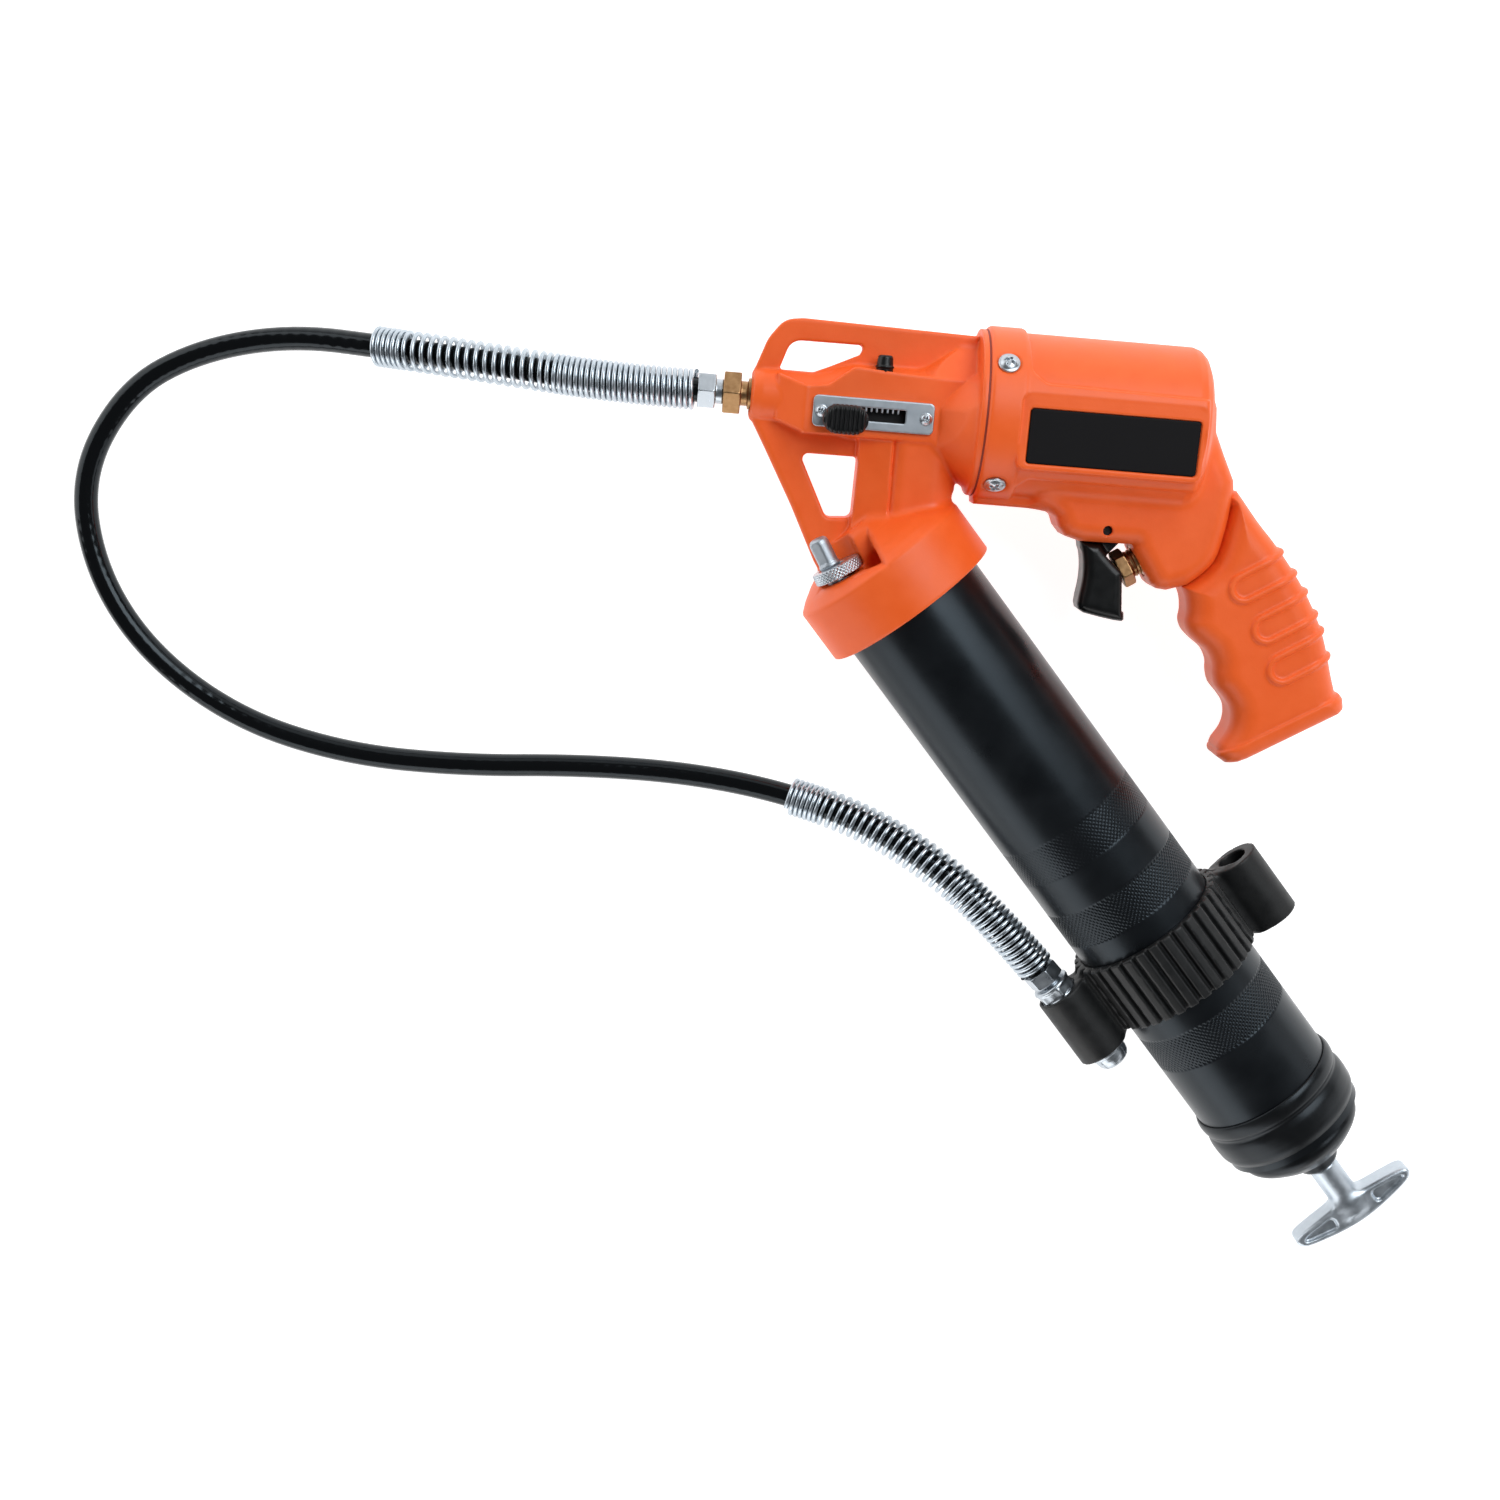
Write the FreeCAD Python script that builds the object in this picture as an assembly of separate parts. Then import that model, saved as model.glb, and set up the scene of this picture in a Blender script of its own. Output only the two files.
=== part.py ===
"""Air-operated cartridge grease gun, lying on its side, with its hose clipped to the barrel.

Gun frame, in millimetres: X runs along the pump and motor axis towards the grip, Y points to the
top of the motor, Z is across the gun, and the datum is where the barrel axis meets the pump axis.
The finished parts are moved so that the origin is under the middle of the gun, on the floor.
"""
import FreeCAD, Part
import math
import os

Vector = FreeCAD.Vector
Z_AXIS = Vector(0, 0, 1)

# Driving dimensions (mm, degrees).
BARREL_ANGLE = 48.65
TUBE_R = 28.5
TUBE_WALL = 1.3
COLLAR_R = 35.2
COLLAR_TOP = 74.5
COLLAR_BOTTOM = 96.5
TUBE_TOP = 84.0
TUBE_END = 354.0
BOOT_LIP = 331.0
BOOT_NOSE = 374.3
ROD_R = 4.0
HANDLE_SHANK_R = 5.9
HANDLE_HALF = 26.2
FOLLOWER_TOP = 98.0
FRONT_FACE = -2.5
SEAM_X = 81.5
FLANGE_R = 31.4
HOUSING_R = 31.0
SPIGOT_R = 28.8
CYLINDER_R = 22.1
PISTON_X = 121.0
SLEEVE_R = 6.5
PLUNGER_R = 3.5
BODY_HALF_Z = 15.0
GRIP_HALF_Z = 15.0
TRIGGER_HALF_Z = 8.6
RUNNING = 0.05
PIN_AT = (132.0, -38.4)
VALVE_FACE = (147.2, -51.3)
VALVE_DIR = (-0.835, -0.550)
GRIP_FOOT = (208.0, -110.8)
GRIP_DIR = (-0.522, 0.853)
PAD_Z = 14.0
PLATE_T = 1.5
SLOT_Y = -3.6
HOLDER_TOP = 250.0
HOLDER_BOTTOM = 278.5
SOCKET_TOP = 252.5
SOCKET_BOTTOM = 281.5
SOCKET_REACH = 42.2
SOCKET_R = 9.9
HOLDER_TURN = 8.0
COUPLER_TILT = 4.0
COUPLER_R = 7.75
SPARE_BORE_R = 5.75
HOSE_R = 4.5
GUARD_R = 7.7
BLEED_FOOT = (36.4, -61.5, 16.0)
BLEED_ANGLE = 58.5

# The gun frame's datum in the finished frame.
DATUM = (-134.39, 141.81, COLLAR_R)

# The hose, from the head fitting, round its loop on the floor, to the coupler (gun frame).
ROUTE = [
    (-22.2, 0.0, 0.0),
    (-54.0, 0.0, 0.0),
    (-95.0, 3.0, -4.5),
    (-137.0, 6.6, -14.0),
    (-178.0, 9.0, -26.5),
    (-217.0, 4.8, -30.7),
    (-245.0, -17.0, -30.7),
    (-258.5, -52.0, -30.7),
    (-255.5, -90.0, -30.7),
    (-232.0, -121.5, -30.7),
    (-195.0, -143.0, -30.7),
    (-152.0, -155.5, -30.7),
    (-105.0, -157.5, -30.7),
    (-58.0, -150.5, -30.7),
    (-16.0, -150.3, -30.6),
    (22.0, -152.0, -24.5),
    (56.0, -161.0, -15.0),
    (84.5, -174.2, -3.5),
    (107.347, -190.771, 6.388),
    (125.830, -209.055, 6.135),
]
GUARD_HEAD_LENGTH = 124.0
GUARD_TIP_LENGTH = 121.0

DOWN = Vector(math.cos(math.radians(BARREL_ANGLE)), -math.sin(math.radians(BARREL_ANGLE)), 0)
ACROSS = Vector(math.sin(math.radians(BARREL_ANGLE)), math.cos(math.radians(BARREL_ANGLE)), 0)
UP = Vector(0, 1, 0)


# Shape helpers.
def on_barrel(s, n=0.0, z=0.0):
    """The point s down the barrel axis, n across it towards the grip, z out of the mid-plane."""
    return DOWN * s + ACROSS * n + Z_AXIS * z


def on_pump(x, y=0.0, z=0.0):
    return Vector(x, y, z)


def rod(radius, start, end):
    axis = end - start
    return Part.makeCylinder(radius, axis.Length, start, axis)


def tube(outer, inner, start, end):
    return rod(outer, start, end).cut(rod(inner, start, end))


def taper(radius_start, radius_end, start, end):
    axis = end - start
    return Part.makeCone(radius_start, radius_end, axis.Length, start, axis)


def outline(points, z_low, z_high):
    """A slab between two heights. A point is (x, y); ("arc", middle, end) is a round stretch and
    ("curve", points) a smooth one."""
    edges = []
    here = Vector(points[0][0], points[0][1], z_low)
    start = here
    for step in points[1:]:
        if step[0] == "arc":
            middle = Vector(step[1][0], step[1][1], z_low)
            end = Vector(step[2][0], step[2][1], z_low)
            edges.append(Part.Arc(here, middle, end).toShape())
        elif step[0] == "curve":
            through = [here] + [Vector(x, y, z_low) for x, y in step[1]]
            end = through[-1]
            spline = Part.BSplineCurve()
            spline.interpolate(through)
            edges.append(spline.toShape())
        else:
            end = Vector(step[0], step[1], z_low)
            edges.append(Part.LineSegment(here, end).toShape())
        here = end
    if (here - start).Length > 1e-6:
        edges.append(Part.LineSegment(here, start).toShape())
    face = Part.Face(Part.Wire(edges))
    return face.extrude(Z_AXIS * (z_high - z_low))


def turned(profile, start, axis, side):
    """A solid of revolution: the profile is (distance along the axis, radius) points."""
    corners = [start + axis * along + side * radius for along, radius in profile]
    face = Part.Face(Part.makePolygon(corners + [corners[0]]))
    return face.revolve(start, axis, 360)


def hex_bar(across_flats, start, end, bore=0.0, turn=0.0):
    """A hexagonal bar with lightly rounded corners."""
    axis = (end - start).normalize()
    length = (end - start).Length
    side = axis.cross(Z_AXIS).normalize()
    other = axis.cross(side).normalize()
    corner_r = across_flats / math.sqrt(3)
    corners = []
    for step in range(7):
        angle = math.radians(60 * step + turn)
        corners.append(start + side * (corner_r * math.cos(angle)) + other * (corner_r * math.sin(angle)))
    bar = Part.Face(Part.makePolygon(corners)).extrude(axis * length)
    crown = 0.8
    rounded = turned([(0, 0), (0, corner_r - crown), (crown, corner_r), (length - crown, corner_r),
                      (length, corner_r - crown), (length, 0)], start, axis, side)
    bar = bar.common(rounded)
    if bore:
        bar = bar.cut(rod(bore, start, end))
    return bar


def coil_spring(start, end, mean_r, wire_r, turns):
    """A helical compression spring between two points."""
    axis = end - start
    room = axis.Length - 2 * wire_r
    helix = Part.makeHelix(room / turns, room, mean_r)
    section = Part.Wire([Part.makeCircle(wire_r, Vector(mean_r, 0, 0), UP)])
    spring = Part.Wire(helix.Edges).makePipeShell([section], True, True)
    turn = FreeCAD.Rotation(Z_AXIS, axis)
    spring.Placement = FreeCAD.Placement(start + axis.normalize() * wire_r, turn)
    return spring


def pan_screw(seat, outward, head_r, head_h, shank_r, shank_length):
    """A cross-recessed pan-head screw; seat is the point under its head."""
    out = Vector(outward).normalize()
    side = out.cross(Vector(0.31, 0.95, 0.05)).normalize()
    head = turned([(0, 0), (0, head_r), (head_h * 0.45, head_r), (head_h * 0.8, head_r * 0.78),
                   (head_h, head_r * 0.4), (head_h, 0)], seat, out, side)
    other = out.cross(side)
    arm = head_r * 0.55
    width = head_r * 0.22
    for along, beside in ((side, other), (other, side)):
        base = seat + out * (head_h * 0.5) - along * arm - beside * (width / 2)
        corners = [base, base + along * (2 * arm), base + along * (2 * arm) + beside * width,
                   base + beside * width, base]
        head = head.cut(Part.Face(Part.makePolygon(corners)).extrude(out * head_h))
    return head.fuse(rod(shank_r, seat, seat - out * shank_length)).removeSplitter()


def route_pieces(points):
    """Straight runs and tangent arcs through the route's corners, with each arc's radius."""
    runs = [(b - a).Length for a, b in zip(points, points[1:])]
    edges = []
    radii = []
    here = points[0]
    for index in range(1, len(points) - 1):
        back = (points[index - 1] - points[index]).normalize()
        ahead = (points[index + 1] - points[index]).normalize()
        turn = math.pi - back.getAngle(ahead)
        reach = 0.45 * min(runs[index - 1], runs[index])
        radius = reach / math.tan(turn / 2)
        radii.append(radius)
        arc_start = points[index] + back * reach
        arc_end = points[index] + ahead * reach
        middle_dir = (back + ahead).normalize()
        centre = points[index] + middle_dir * (radius / math.cos(turn / 2))
        arc_middle = centre - middle_dir * radius
        edges.append(Part.LineSegment(here, arc_start).toShape())
        edges.append(Part.Arc(arc_start, arc_middle, arc_end).toShape())
        here = arc_end
    edges.append(Part.LineSegment(here, points[-1]).toShape())
    return edges, radii


def pipe(edges, radius):
    """A round tube's solid along a chain of lines and arcs."""
    wire = Part.Wire(edges)
    start = edges[0].Vertexes[0].Point
    direction = edges[0].tangentAt(edges[0].FirstParameter)
    section = Part.Wire([Part.makeCircle(radius, start, direction)])
    return wire.makePipeShell([section], True, True)


def cut_chain(edges, length):
    """The first stretch of a chain of edges, of the given length."""
    kept = []
    left = length
    for edge in edges:
        if edge.Length >= left:
            first = edge.FirstParameter
            last = edge.getParameterByLength(left)
            kept.append(edge.Curve.toShape(first, last))
            return kept
        kept.append(edge)
        left -= edge.Length
    return kept


# Pump head.
def head_web():
    loop = outline([(FRONT_FACE, -7.6), (FRONT_FACE, 7.6), (2.1, 20.7), ("arc", (6.4, 26.1), (14.0, 28.3)),
                    (20.0, 28.4), (79.0, 27.5), (79.0, -4.0)], -4.0, 4.0)
    window = outline([(7.4, 10.4), (10.2, 17.9), ("arc", (11.6, 19.8), (14.3, 20.5)), (34.5, 20.5),
                      (36.8, 19.2), (34.8, 17.0), (20.0, 10.0)], -20.0, 20.0)
    return loop, window


def head_strut():
    strut = outline([(-2.9, -7.3), (25.7, -59.2), (36.0, -70.0), (44.0, -48.0), (44.0, -8.0),
                     (0.0, -4.0)], -5.5, 5.5)
    window = outline([(17.8, -20.0), (38.3, -19.9), (38.0, -41.5), (29.8, -42.2)], -20.0, 20.0)
    return strut, window


def head_boss():
    """The pump boss with its flat selector pad, and the flare out to the flange."""
    boss = taper(8.0, 10.4, on_pump(FRONT_FACE), on_pump(6.0))
    boss = boss.fuse(rod(10.4, on_pump(6.0), on_pump(22.0)))
    boss = boss.fuse(taper(10.4, 14.4, on_pump(22.0), on_pump(34.0)))
    boss = boss.fuse(rod(14.4, on_pump(34.0), on_pump(66.0)))
    pad = outline([(17.5, -12.0), (66.5, -12.0), (66.5, 13.0), (34.0, 13.0), (25.0, 6.0), (17.5, 5.0)],
                  0.0, PAD_Z)
    flare = taper(13.0, FLANGE_R - 1.5, on_pump(58.5), on_pump(77.5))
    flange = rod(FLANGE_R, on_pump(77.5), on_pump(SEAM_X))
    return boss.fuse([pad, flare, flange])


def head_neck():
    return outline([(38.3, -8.0), (38.0, -43.0), (41.0, -62.0), (70.0, -50.0), (76.1, -32.2),
                    (75.4, -28.5), (70.0, -20.0), (66.0, -8.0)], -13.0, 13.0)


def head_collar():
    profile = [(66.0, 0.0), (66.0, 17.0), (72.5, 32.0), (COLLAR_TOP, 34.2), (76.5, COLLAR_R),
               (COLLAR_BOTTOM, COLLAR_R), (COLLAR_BOTTOM, 0.0)]
    return turned(profile, Vector(0, 0, 0), DOWN, ACROSS)


def bleed_axis():
    angle = math.radians(BLEED_ANGLE)
    return Vector(-math.cos(angle), math.sin(angle), 0)


def head_casting():
    web, upper_window = head_web()
    strut, lower_window = head_strut()
    foot = Vector(*BLEED_FOOT)
    out = bleed_axis()
    bleed_boss = rod(8.8, foot - out * 14.0, foot)
    spigot = rod(SPIGOT_R, on_pump(SEAM_X), on_pump(92.0))
    solid = web.fuse([strut, head_neck(), head_collar(), bleed_boss]).cut(lower_window)
    solid = solid.cut(upper_window).fuse([head_boss(), spigot])
    cuts = [
        rod(TUBE_R, on_barrel(TUBE_TOP - 2.0), on_barrel(COLLAR_BOTTOM)),
        rod(24.0, on_barrel(77.0), on_barrel(TUBE_TOP)),
        rod(3.5, Vector(49.5, -2.0, 0), Vector(52.5, -58.0, 0)),
        rod(6.0, on_pump(FRONT_FACE), on_pump(9.0)),
        rod(4.2, on_pump(9.0), on_pump(20.0)),
        rod(SLEEVE_R, on_pump(20.0), on_pump(70.0)),
        rod(9.0, on_pump(70.0), on_pump(SEAM_X)),
        rod(CYLINDER_R, on_pump(SEAM_X - 0.5), on_pump(92.0)),
        rod(5.0, foot, foot - out * 9.5),
        rod(1.4, foot, foot - out * 17.0),
        rod(9.9, foot, foot + out * 20.0),
        outline([(17.0, -12.5), (66.5, -12.5), (66.5, 13.5), (17.0, 13.5)], PAD_Z, PAD_Z + 20.0),
        rod(3.2, Vector(45.2, 3.5, 9.5), Vector(45.2, 22.0, 9.5)),
        rod(2.6, Vector(77.6, -31.2, -30.0), Vector(77.6, -31.2, 30.0)),
        outline([(26.0, -8.4), (57.0, -8.4), (57.0, 1.2), (26.0, 1.2)], 10.0, PAD_Z + 1.0),
    ]
    for x, y in SELECTOR_SCREWS:
        cuts.append(rod(1.2, Vector(x, y, 8.5), Vector(x, y, PAD_Z + 1.0)))
    for seat, outward in housing_screw_seats():
        cuts.append(rod(2.0, seat, seat - outward * 9.0))
    for cut in cuts:
        solid = solid.cut(cut)
    return solid.removeSplitter()


def pump_sleeve():
    sleeve = tube(SLEEVE_R, PLUNGER_R + RUNNING, on_pump(20.0), on_pump(70.0))
    seat = tube(SLEEVE_R, 2.0, on_pump(20.0), on_pump(22.0))
    seat = seat.cut(taper(3.4, 2.0, on_pump(20.0), on_pump(21.4)))
    inlet = rod(2.5, Vector(49.5, 0, 0), Vector(49.5, -8.0, 0))
    return sleeve.fuse(seat).cut(inlet).removeSplitter()


def outlet_adapter():
    """Brass adapter: threaded into the head, with a hexagon and a bore for the check spring."""
    solid = rod(6.0, on_pump(FRONT_FACE), on_pump(9.0))
    solid = solid.fuse(rod(5.9, on_pump(FRONT_FACE - 1.2), on_pump(FRONT_FACE)))
    solid = solid.fuse(rod(4.6, on_pump(-6.4), on_pump(FRONT_FACE)))
    solid = solid.fuse(hex_bar(15.0, on_pump(-12.8), on_pump(-6.4), turn=30.0))
    return solid.cut(rod(2.4, on_pump(-12.8), on_pump(9.0))).removeSplitter()


def check_ball():
    return Part.makeSphere(3.1, on_pump(18.2))


def check_spring():
    return coil_spring(on_pump(9.1), on_pump(15.2), 2.9, 0.35, 4)


# Bleed valve, set in the boss beside the collar.
def bleed_valve_body():
    foot = Vector(*BLEED_FOOT)
    out = bleed_axis()
    solid = rod(9.4, foot, foot + out * 4.5).fuse(rod(5.0, foot - out * 9.0, foot))
    solid = solid.cut(rod(3.83, foot - out * 6.0, foot + out * 4.5))
    return solid.cut(rod(1.4, foot - out * 9.0, foot)).removeSplitter()


def bleed_valve_stem():
    foot = Vector(*BLEED_FOOT)
    out = bleed_axis()
    return turned([(-1.5, 0), (-1.5, 3.76), (14.6, 3.76), (15.6, 3.3), (16.2, 2.2), (16.2, 0)], foot, out, Z_AXIS)


def bleed_valve_spring():
    foot = Vector(*BLEED_FOOT)
    out = bleed_axis()
    return coil_spring(foot - out * 5.95, foot - out * 1.6, 2.9, 0.35, 4)


# Selector on the side of the pump boss.
SELECTOR_SCREWS = [(23.4, -3.6), (61.5, -3.6)]


def selector_plate():
    r = 1.8
    left, right, low, high = 20.3, 64.4, -9.25, 2.05
    d = r * (1 - math.sqrt(0.5))
    plate = outline([(left + r, low), (right - r, low), ("arc", (right - d, low + d), (right, low + r)),
                     (right, high - r), ("arc", (right - d, high - d), (right - r, high)),
                     (left + r, high), ("arc", (left + d, high - d), (left, high - r)),
                     (left, low + r), ("arc", (left + d, low + d), (left + r, low))],
                    PAD_Z, PAD_Z + PLATE_T)
    slot = outline([(27.6, SLOT_Y - 2.4), (53.8, SLOT_Y - 2.4), (53.8, SLOT_Y + 2.4), (27.6, SLOT_Y + 2.4)],
                   PAD_Z - 1.0, PAD_Z + PLATE_T + 1.0)
    plate = plate.cut(slot)
    for x, y in SELECTOR_SCREWS:
        plate = plate.cut(rod(1.2, Vector(x, y, PAD_Z - 1.0), Vector(x, y, PAD_Z + 3.0)))
    return plate


def selector_screws():
    top = PAD_Z + PLATE_T
    return Part.makeCompound([pan_screw(Vector(x, y, top), Z_AXIS, 2.3, 1.5, 1.2, 6.5)
                              for x, y in SELECTOR_SCREWS])


def selector_knob():
    """The sliding knob: its foot runs under the plate and its stem in the plate's slot."""
    foot = outline([(27.9, SLOT_Y - 4.2), (36.4, SLOT_Y - 4.2), (36.4, SLOT_Y + 4.2), (27.9, SLOT_Y + 4.2)],
                   10.6, PAD_Z - 0.2)
    stem = outline([(28.4, SLOT_Y - 2.32), (35.9, SLOT_Y - 2.32), (35.9, SLOT_Y + 2.32),
                    (28.4, SLOT_Y + 2.32)], PAD_Z - 0.3, PAD_Z + PLATE_T + 2.0)
    half = 5.3
    middle = -6.0
    left, right = 23.9 + half, 40.4 - half
    head = outline([(left, middle - half), (right, middle - half),
                    ("arc", (right + half, middle), (right, middle + half)),
                    (left, middle + half), ("arc", (left - half, middle), (left, middle - half))],
                   PAD_Z + PLATE_T + 1.8, PAD_Z + PLATE_T + 8.0)
    return head.fuse([stem, foot]).removeSplitter()


def release_button():
    return turned([(7.6, 0), (7.6, 3.12), (17.3, 3.12), (18.0, 2.4), (18.0, 0)],
                  Vector(45.2, 0, 9.5), UP, Z_AXIS)


def release_button_spring():
    return coil_spring(Vector(45.2, 3.55, 9.5), Vector(45.2, 7.55, 9.5), 2.3, 0.35, 4)


# Air motor.
def housing_screw_seats():
    """Seat point and outward direction of the four radial screws of the motor flange."""
    seats = []
    for angle in (54.0, 149.0, -149.0, -54.0):
        outward = Vector(0, math.cos(math.radians(angle)), math.sin(math.radians(angle)))
        seats.append((on_pump(88.2) + outward * (FLANGE_R - 0.5), outward))
    return seats


def housing_shell():
    shell = rod(FLANGE_R + 0.4, on_pump(82.3), on_pump(95.5)).fuse(rod(HOUSING_R, on_pump(95.5), on_pump(157.0)))
    shell = shell.fuse(taper(HOUSING_R, 24.0, on_pump(157.0), on_pump(166.0)))
    chin = outline([(82.3, -33.0), (111.4, -33.1), (111.4, -10.0), (82.3, -10.0)], -9.0, 9.0)
    root = outline([(110.0, -20.0), (110.0, -33.1), (113.6, -35.9), ("arc", (115.6, -40.4), (122.7, -43.3)),
                    (142.6, -43.0), (142.8, -44.7), (151.5, -57.9), ("arc", (156.6, -58.9), (162.0, -57.1)),
                    ("curve", SEAM_CURVE), (178.3, -16.5), (169.6, 0.2), (167.5, 11.2), (165.0, 24.0),
                    (161.0, 29.0), (150.0, 29.0)], -BODY_HALF_Z, BODY_HALF_Z)
    panels = [outline([(93.5, -18.0), (158.5, -18.0), (158.5, 8.6), (93.5, 8.6)], low, high)
              for low, high in ((10.0, 30.0), (-30.0, -10.0))]
    return shell.fuse([chin, root] + panels)


SEAM_CURVE = [(165.6, -55.3), (173.3, -47.1), (176.2, -34.1), (177.1, -24.0)]


def valve_point(t):
    return Vector(VALVE_FACE[0] + VALVE_DIR[0] * t, VALVE_FACE[1] + VALVE_DIR[1] * t, 0)


def grip_point(t):
    return Vector(GRIP_FOOT[0] + GRIP_DIR[0] * t, GRIP_FOOT[1] + GRIP_DIR[1] * t, 0)


def motor_housing():
    solid = housing_shell()
    cuts = [
        rod(SPIGOT_R, on_pump(82.3), on_pump(93.0)),
        rod(CYLINDER_R, on_pump(93.0), on_pump(132.0)),
        rod(6.5, valve_point(6.0), valve_point(-12.0)),
        rod(4.5, valve_point(-12.0), valve_point(-26.0)),
        rod(2.5, valve_point(-14.0), on_pump(131.0, -16.0)),
        rod(4.5, grip_point(50.0), grip_point(86.0)),
        outline([(121.4, -50.0), (121.4, -38.0), ("arc", (132.0, -29.2), (141.6, -38.0)),
                 (141.6, -50.0)], -5.2, 5.2),
        rod(1.75, Vector(*PIN_AT, -20.0), Vector(*PIN_AT, 20.0)),
    ]
    for side in (1, -1):
        low, high = sorted((side * 29.0, side * 31.0))
        cuts.append(outline([(97.4, -16.1), (158.0, -16.1), (158.0, 3.8), (97.4, 3.8)], low, high))
    for seat, outward in housing_screw_seats():
        cuts.append(rod(2.0, seat, seat - outward * 9.0))
        cuts.append(rod(4.3, seat, seat + outward * 4.0))
    for cut in cuts:
        solid = solid.cut(cut)
    return solid.removeSplitter()


def housing_gasket():
    return tube(FLANGE_R - 0.9, SPIGOT_R, on_pump(SEAM_X), on_pump(82.3))


def housing_screws():
    return Part.makeCompound([pan_screw(seat, outward, 3.95, 2.4, 2.0, 8.5)
                              for seat, outward in housing_screw_seats()])


def name_labels():
    return Part.makeCompound([outline([(97.6, -15.9), (157.8, -15.9), (157.8, 3.6), (97.6, 3.6)], low, high)
                              for low, high in ((29.0, 29.5), (-29.5, -29.0))])


def air_piston():
    solid = rod(CYLINDER_R - 0.6, on_pump(PISTON_X), on_pump(PISTON_X + 8.0))
    solid = solid.cut(tube(CYLINDER_R + 1.0, 19.6, on_pump(PISTON_X + 2.5), on_pump(PISTON_X + 5.5)))
    return solid.cut(rod(PLUNGER_R, on_pump(PISTON_X - 1.0), on_pump(PISTON_X + 9.0)))


def piston_seal():
    return tube(CYLINDER_R - RUNNING, 19.6, on_pump(PISTON_X + 2.5), on_pump(PISTON_X + 5.5))


def pump_plunger():
    return rod(PLUNGER_R, on_pump(54.0), on_pump(PISTON_X + 9.0))


def plunger_clip():
    return tube(6.0, PLUNGER_R, on_pump(PISTON_X + 8.0), on_pump(PISTON_X + 9.2))


def piston_return_spring():
    return coil_spring(on_pump(81.1), on_pump(PISTON_X - 0.05), 15.0, 1.3, 6)


def rod_packing():
    """The seal round the plunger where it leaves the sleeve."""
    return tube(9.0, PLUNGER_R + RUNNING, on_pump(70.0), on_pump(74.0))


# Grip, trigger and air valve.
def grip_outline():
    return [(178.7, -20.6), (177.1, -24.0), ("curve", list(reversed(SEAM_CURVE))[1:] + [(162.6, -56.8)]),
            ("curve", [(165.4, -62.8), (165.7, -70.4), (171.0, -77.4), (176.6, -84.0), (179.3, -91.0),
                       (184.6, -97.4), (187.2, -104.0), (185.6, -112.0)]),
            (184.0, -115.6), ("arc", (186.2, -120.2), (192.4, -121.2)), (227.9, -99.6), (225.2, -92.2),
            ("curve", [(222.0, -86.0), (219.4, -78.0), (213.4, -64.6), (205.0, -52.0), (195.0, -39.5),
                       (182.4, -24.2)])]


def grip():
    solid = outline(grip_outline(), -GRIP_HALF_Z, GRIP_HALF_Z)
    solid = solid.cut(rod(8.0, grip_point(-6.0), grip_point(16.0)))
    return solid.cut(rod(4.5, grip_point(15.0), grip_point(80.0)))


def air_inlet_bush():
    """Threaded steel bush for the air line, set in the foot of the grip."""
    bush = rod(8.0, grip_point(0.2), grip_point(16.0))
    return bush.cut(rod(5.7, grip_point(-1.0), grip_point(16.5)))


def trigger():
    body = outline([(122.9, -44.0), ("curve", [(125.3, -51.5), (125.9, -58.5), (125.1, -66.4)]),
                    ("arc", (126.6, -69.8), (130.4, -70.8)), (142.9, -72.0), (143.4, -71.0), (141.5, -53.6),
                    (136.8, -49.6), (131.5, -44.6)], -TRIGGER_HALF_Z, TRIGGER_HALF_Z)
    pocket = outline([(133.0, -48.5), (131.3, -52.5), (131.3, -68.5), (146.0, -68.5),
                      (146.0, -45.0), (138.0, -45.0)], -7.2, 7.2)
    lug = outline([(124.2, -47.0), (124.2, -39.5), ("arc", (131.5, -32.4), (138.6, -39.5)), (138.6, -43.0),
                   (134.6, -47.6)], -4.9, 4.9)
    push_pad = rod(4.5, valve_point(11.3), valve_point(17.5)).common(
        outline([(125.9, -40.0), (125.9, -72.0), (146.0, -72.0), (146.0, -40.0)], -7.3, 7.3))
    solid = body.cut(pocket).fuse([lug, push_pad])
    return solid.cut(rod(1.75 + RUNNING, Vector(*PIN_AT, -10.0), Vector(*PIN_AT, 10.0))).removeSplitter()


def trigger_pin():
    return rod(1.75, Vector(*PIN_AT, -12.4), Vector(*PIN_AT, 12.4))


def trigger_valve_body():
    solid = rod(6.5, valve_point(-12.0), valve_point(5.5))
    solid = solid.cut(rod(2.05, valve_point(-12.5), valve_point(6.0)))
    return solid.cut(rod(4.5, valve_point(-12.5), valve_point(-2.0)))


def trigger_valve_stem():
    stem = rod(2.0, valve_point(-14.0), valve_point(11.0))
    return stem.fuse(rod(3.9, valve_point(-16.0), valve_point(-13.2))).removeSplitter()


def trigger_valve_spring():
    return coil_spring(valve_point(-25.9), valve_point(-16.1), 3.2, 0.4, 5)


# Barrel, follower and rod.
def barrel_gasket():
    return tube(TUBE_R - 0.2, 24.0, on_barrel(TUBE_TOP - 2.0), on_barrel(TUBE_TOP))


def barrel_tube():
    return tube(TUBE_R, TUBE_R - TUBE_WALL, on_barrel(TUBE_TOP), on_barrel(TUBE_END))


def barrel_end_cap():
    cap = rod(TUBE_R - TUBE_WALL, on_barrel(350.0), on_barrel(TUBE_END))
    cap = cap.fuse(rod(8.0, on_barrel(TUBE_END), on_barrel(366.0)))
    return cap.cut(rod(ROD_R + RUNNING, on_barrel(349.0), on_barrel(367.0))).removeSplitter()


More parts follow.
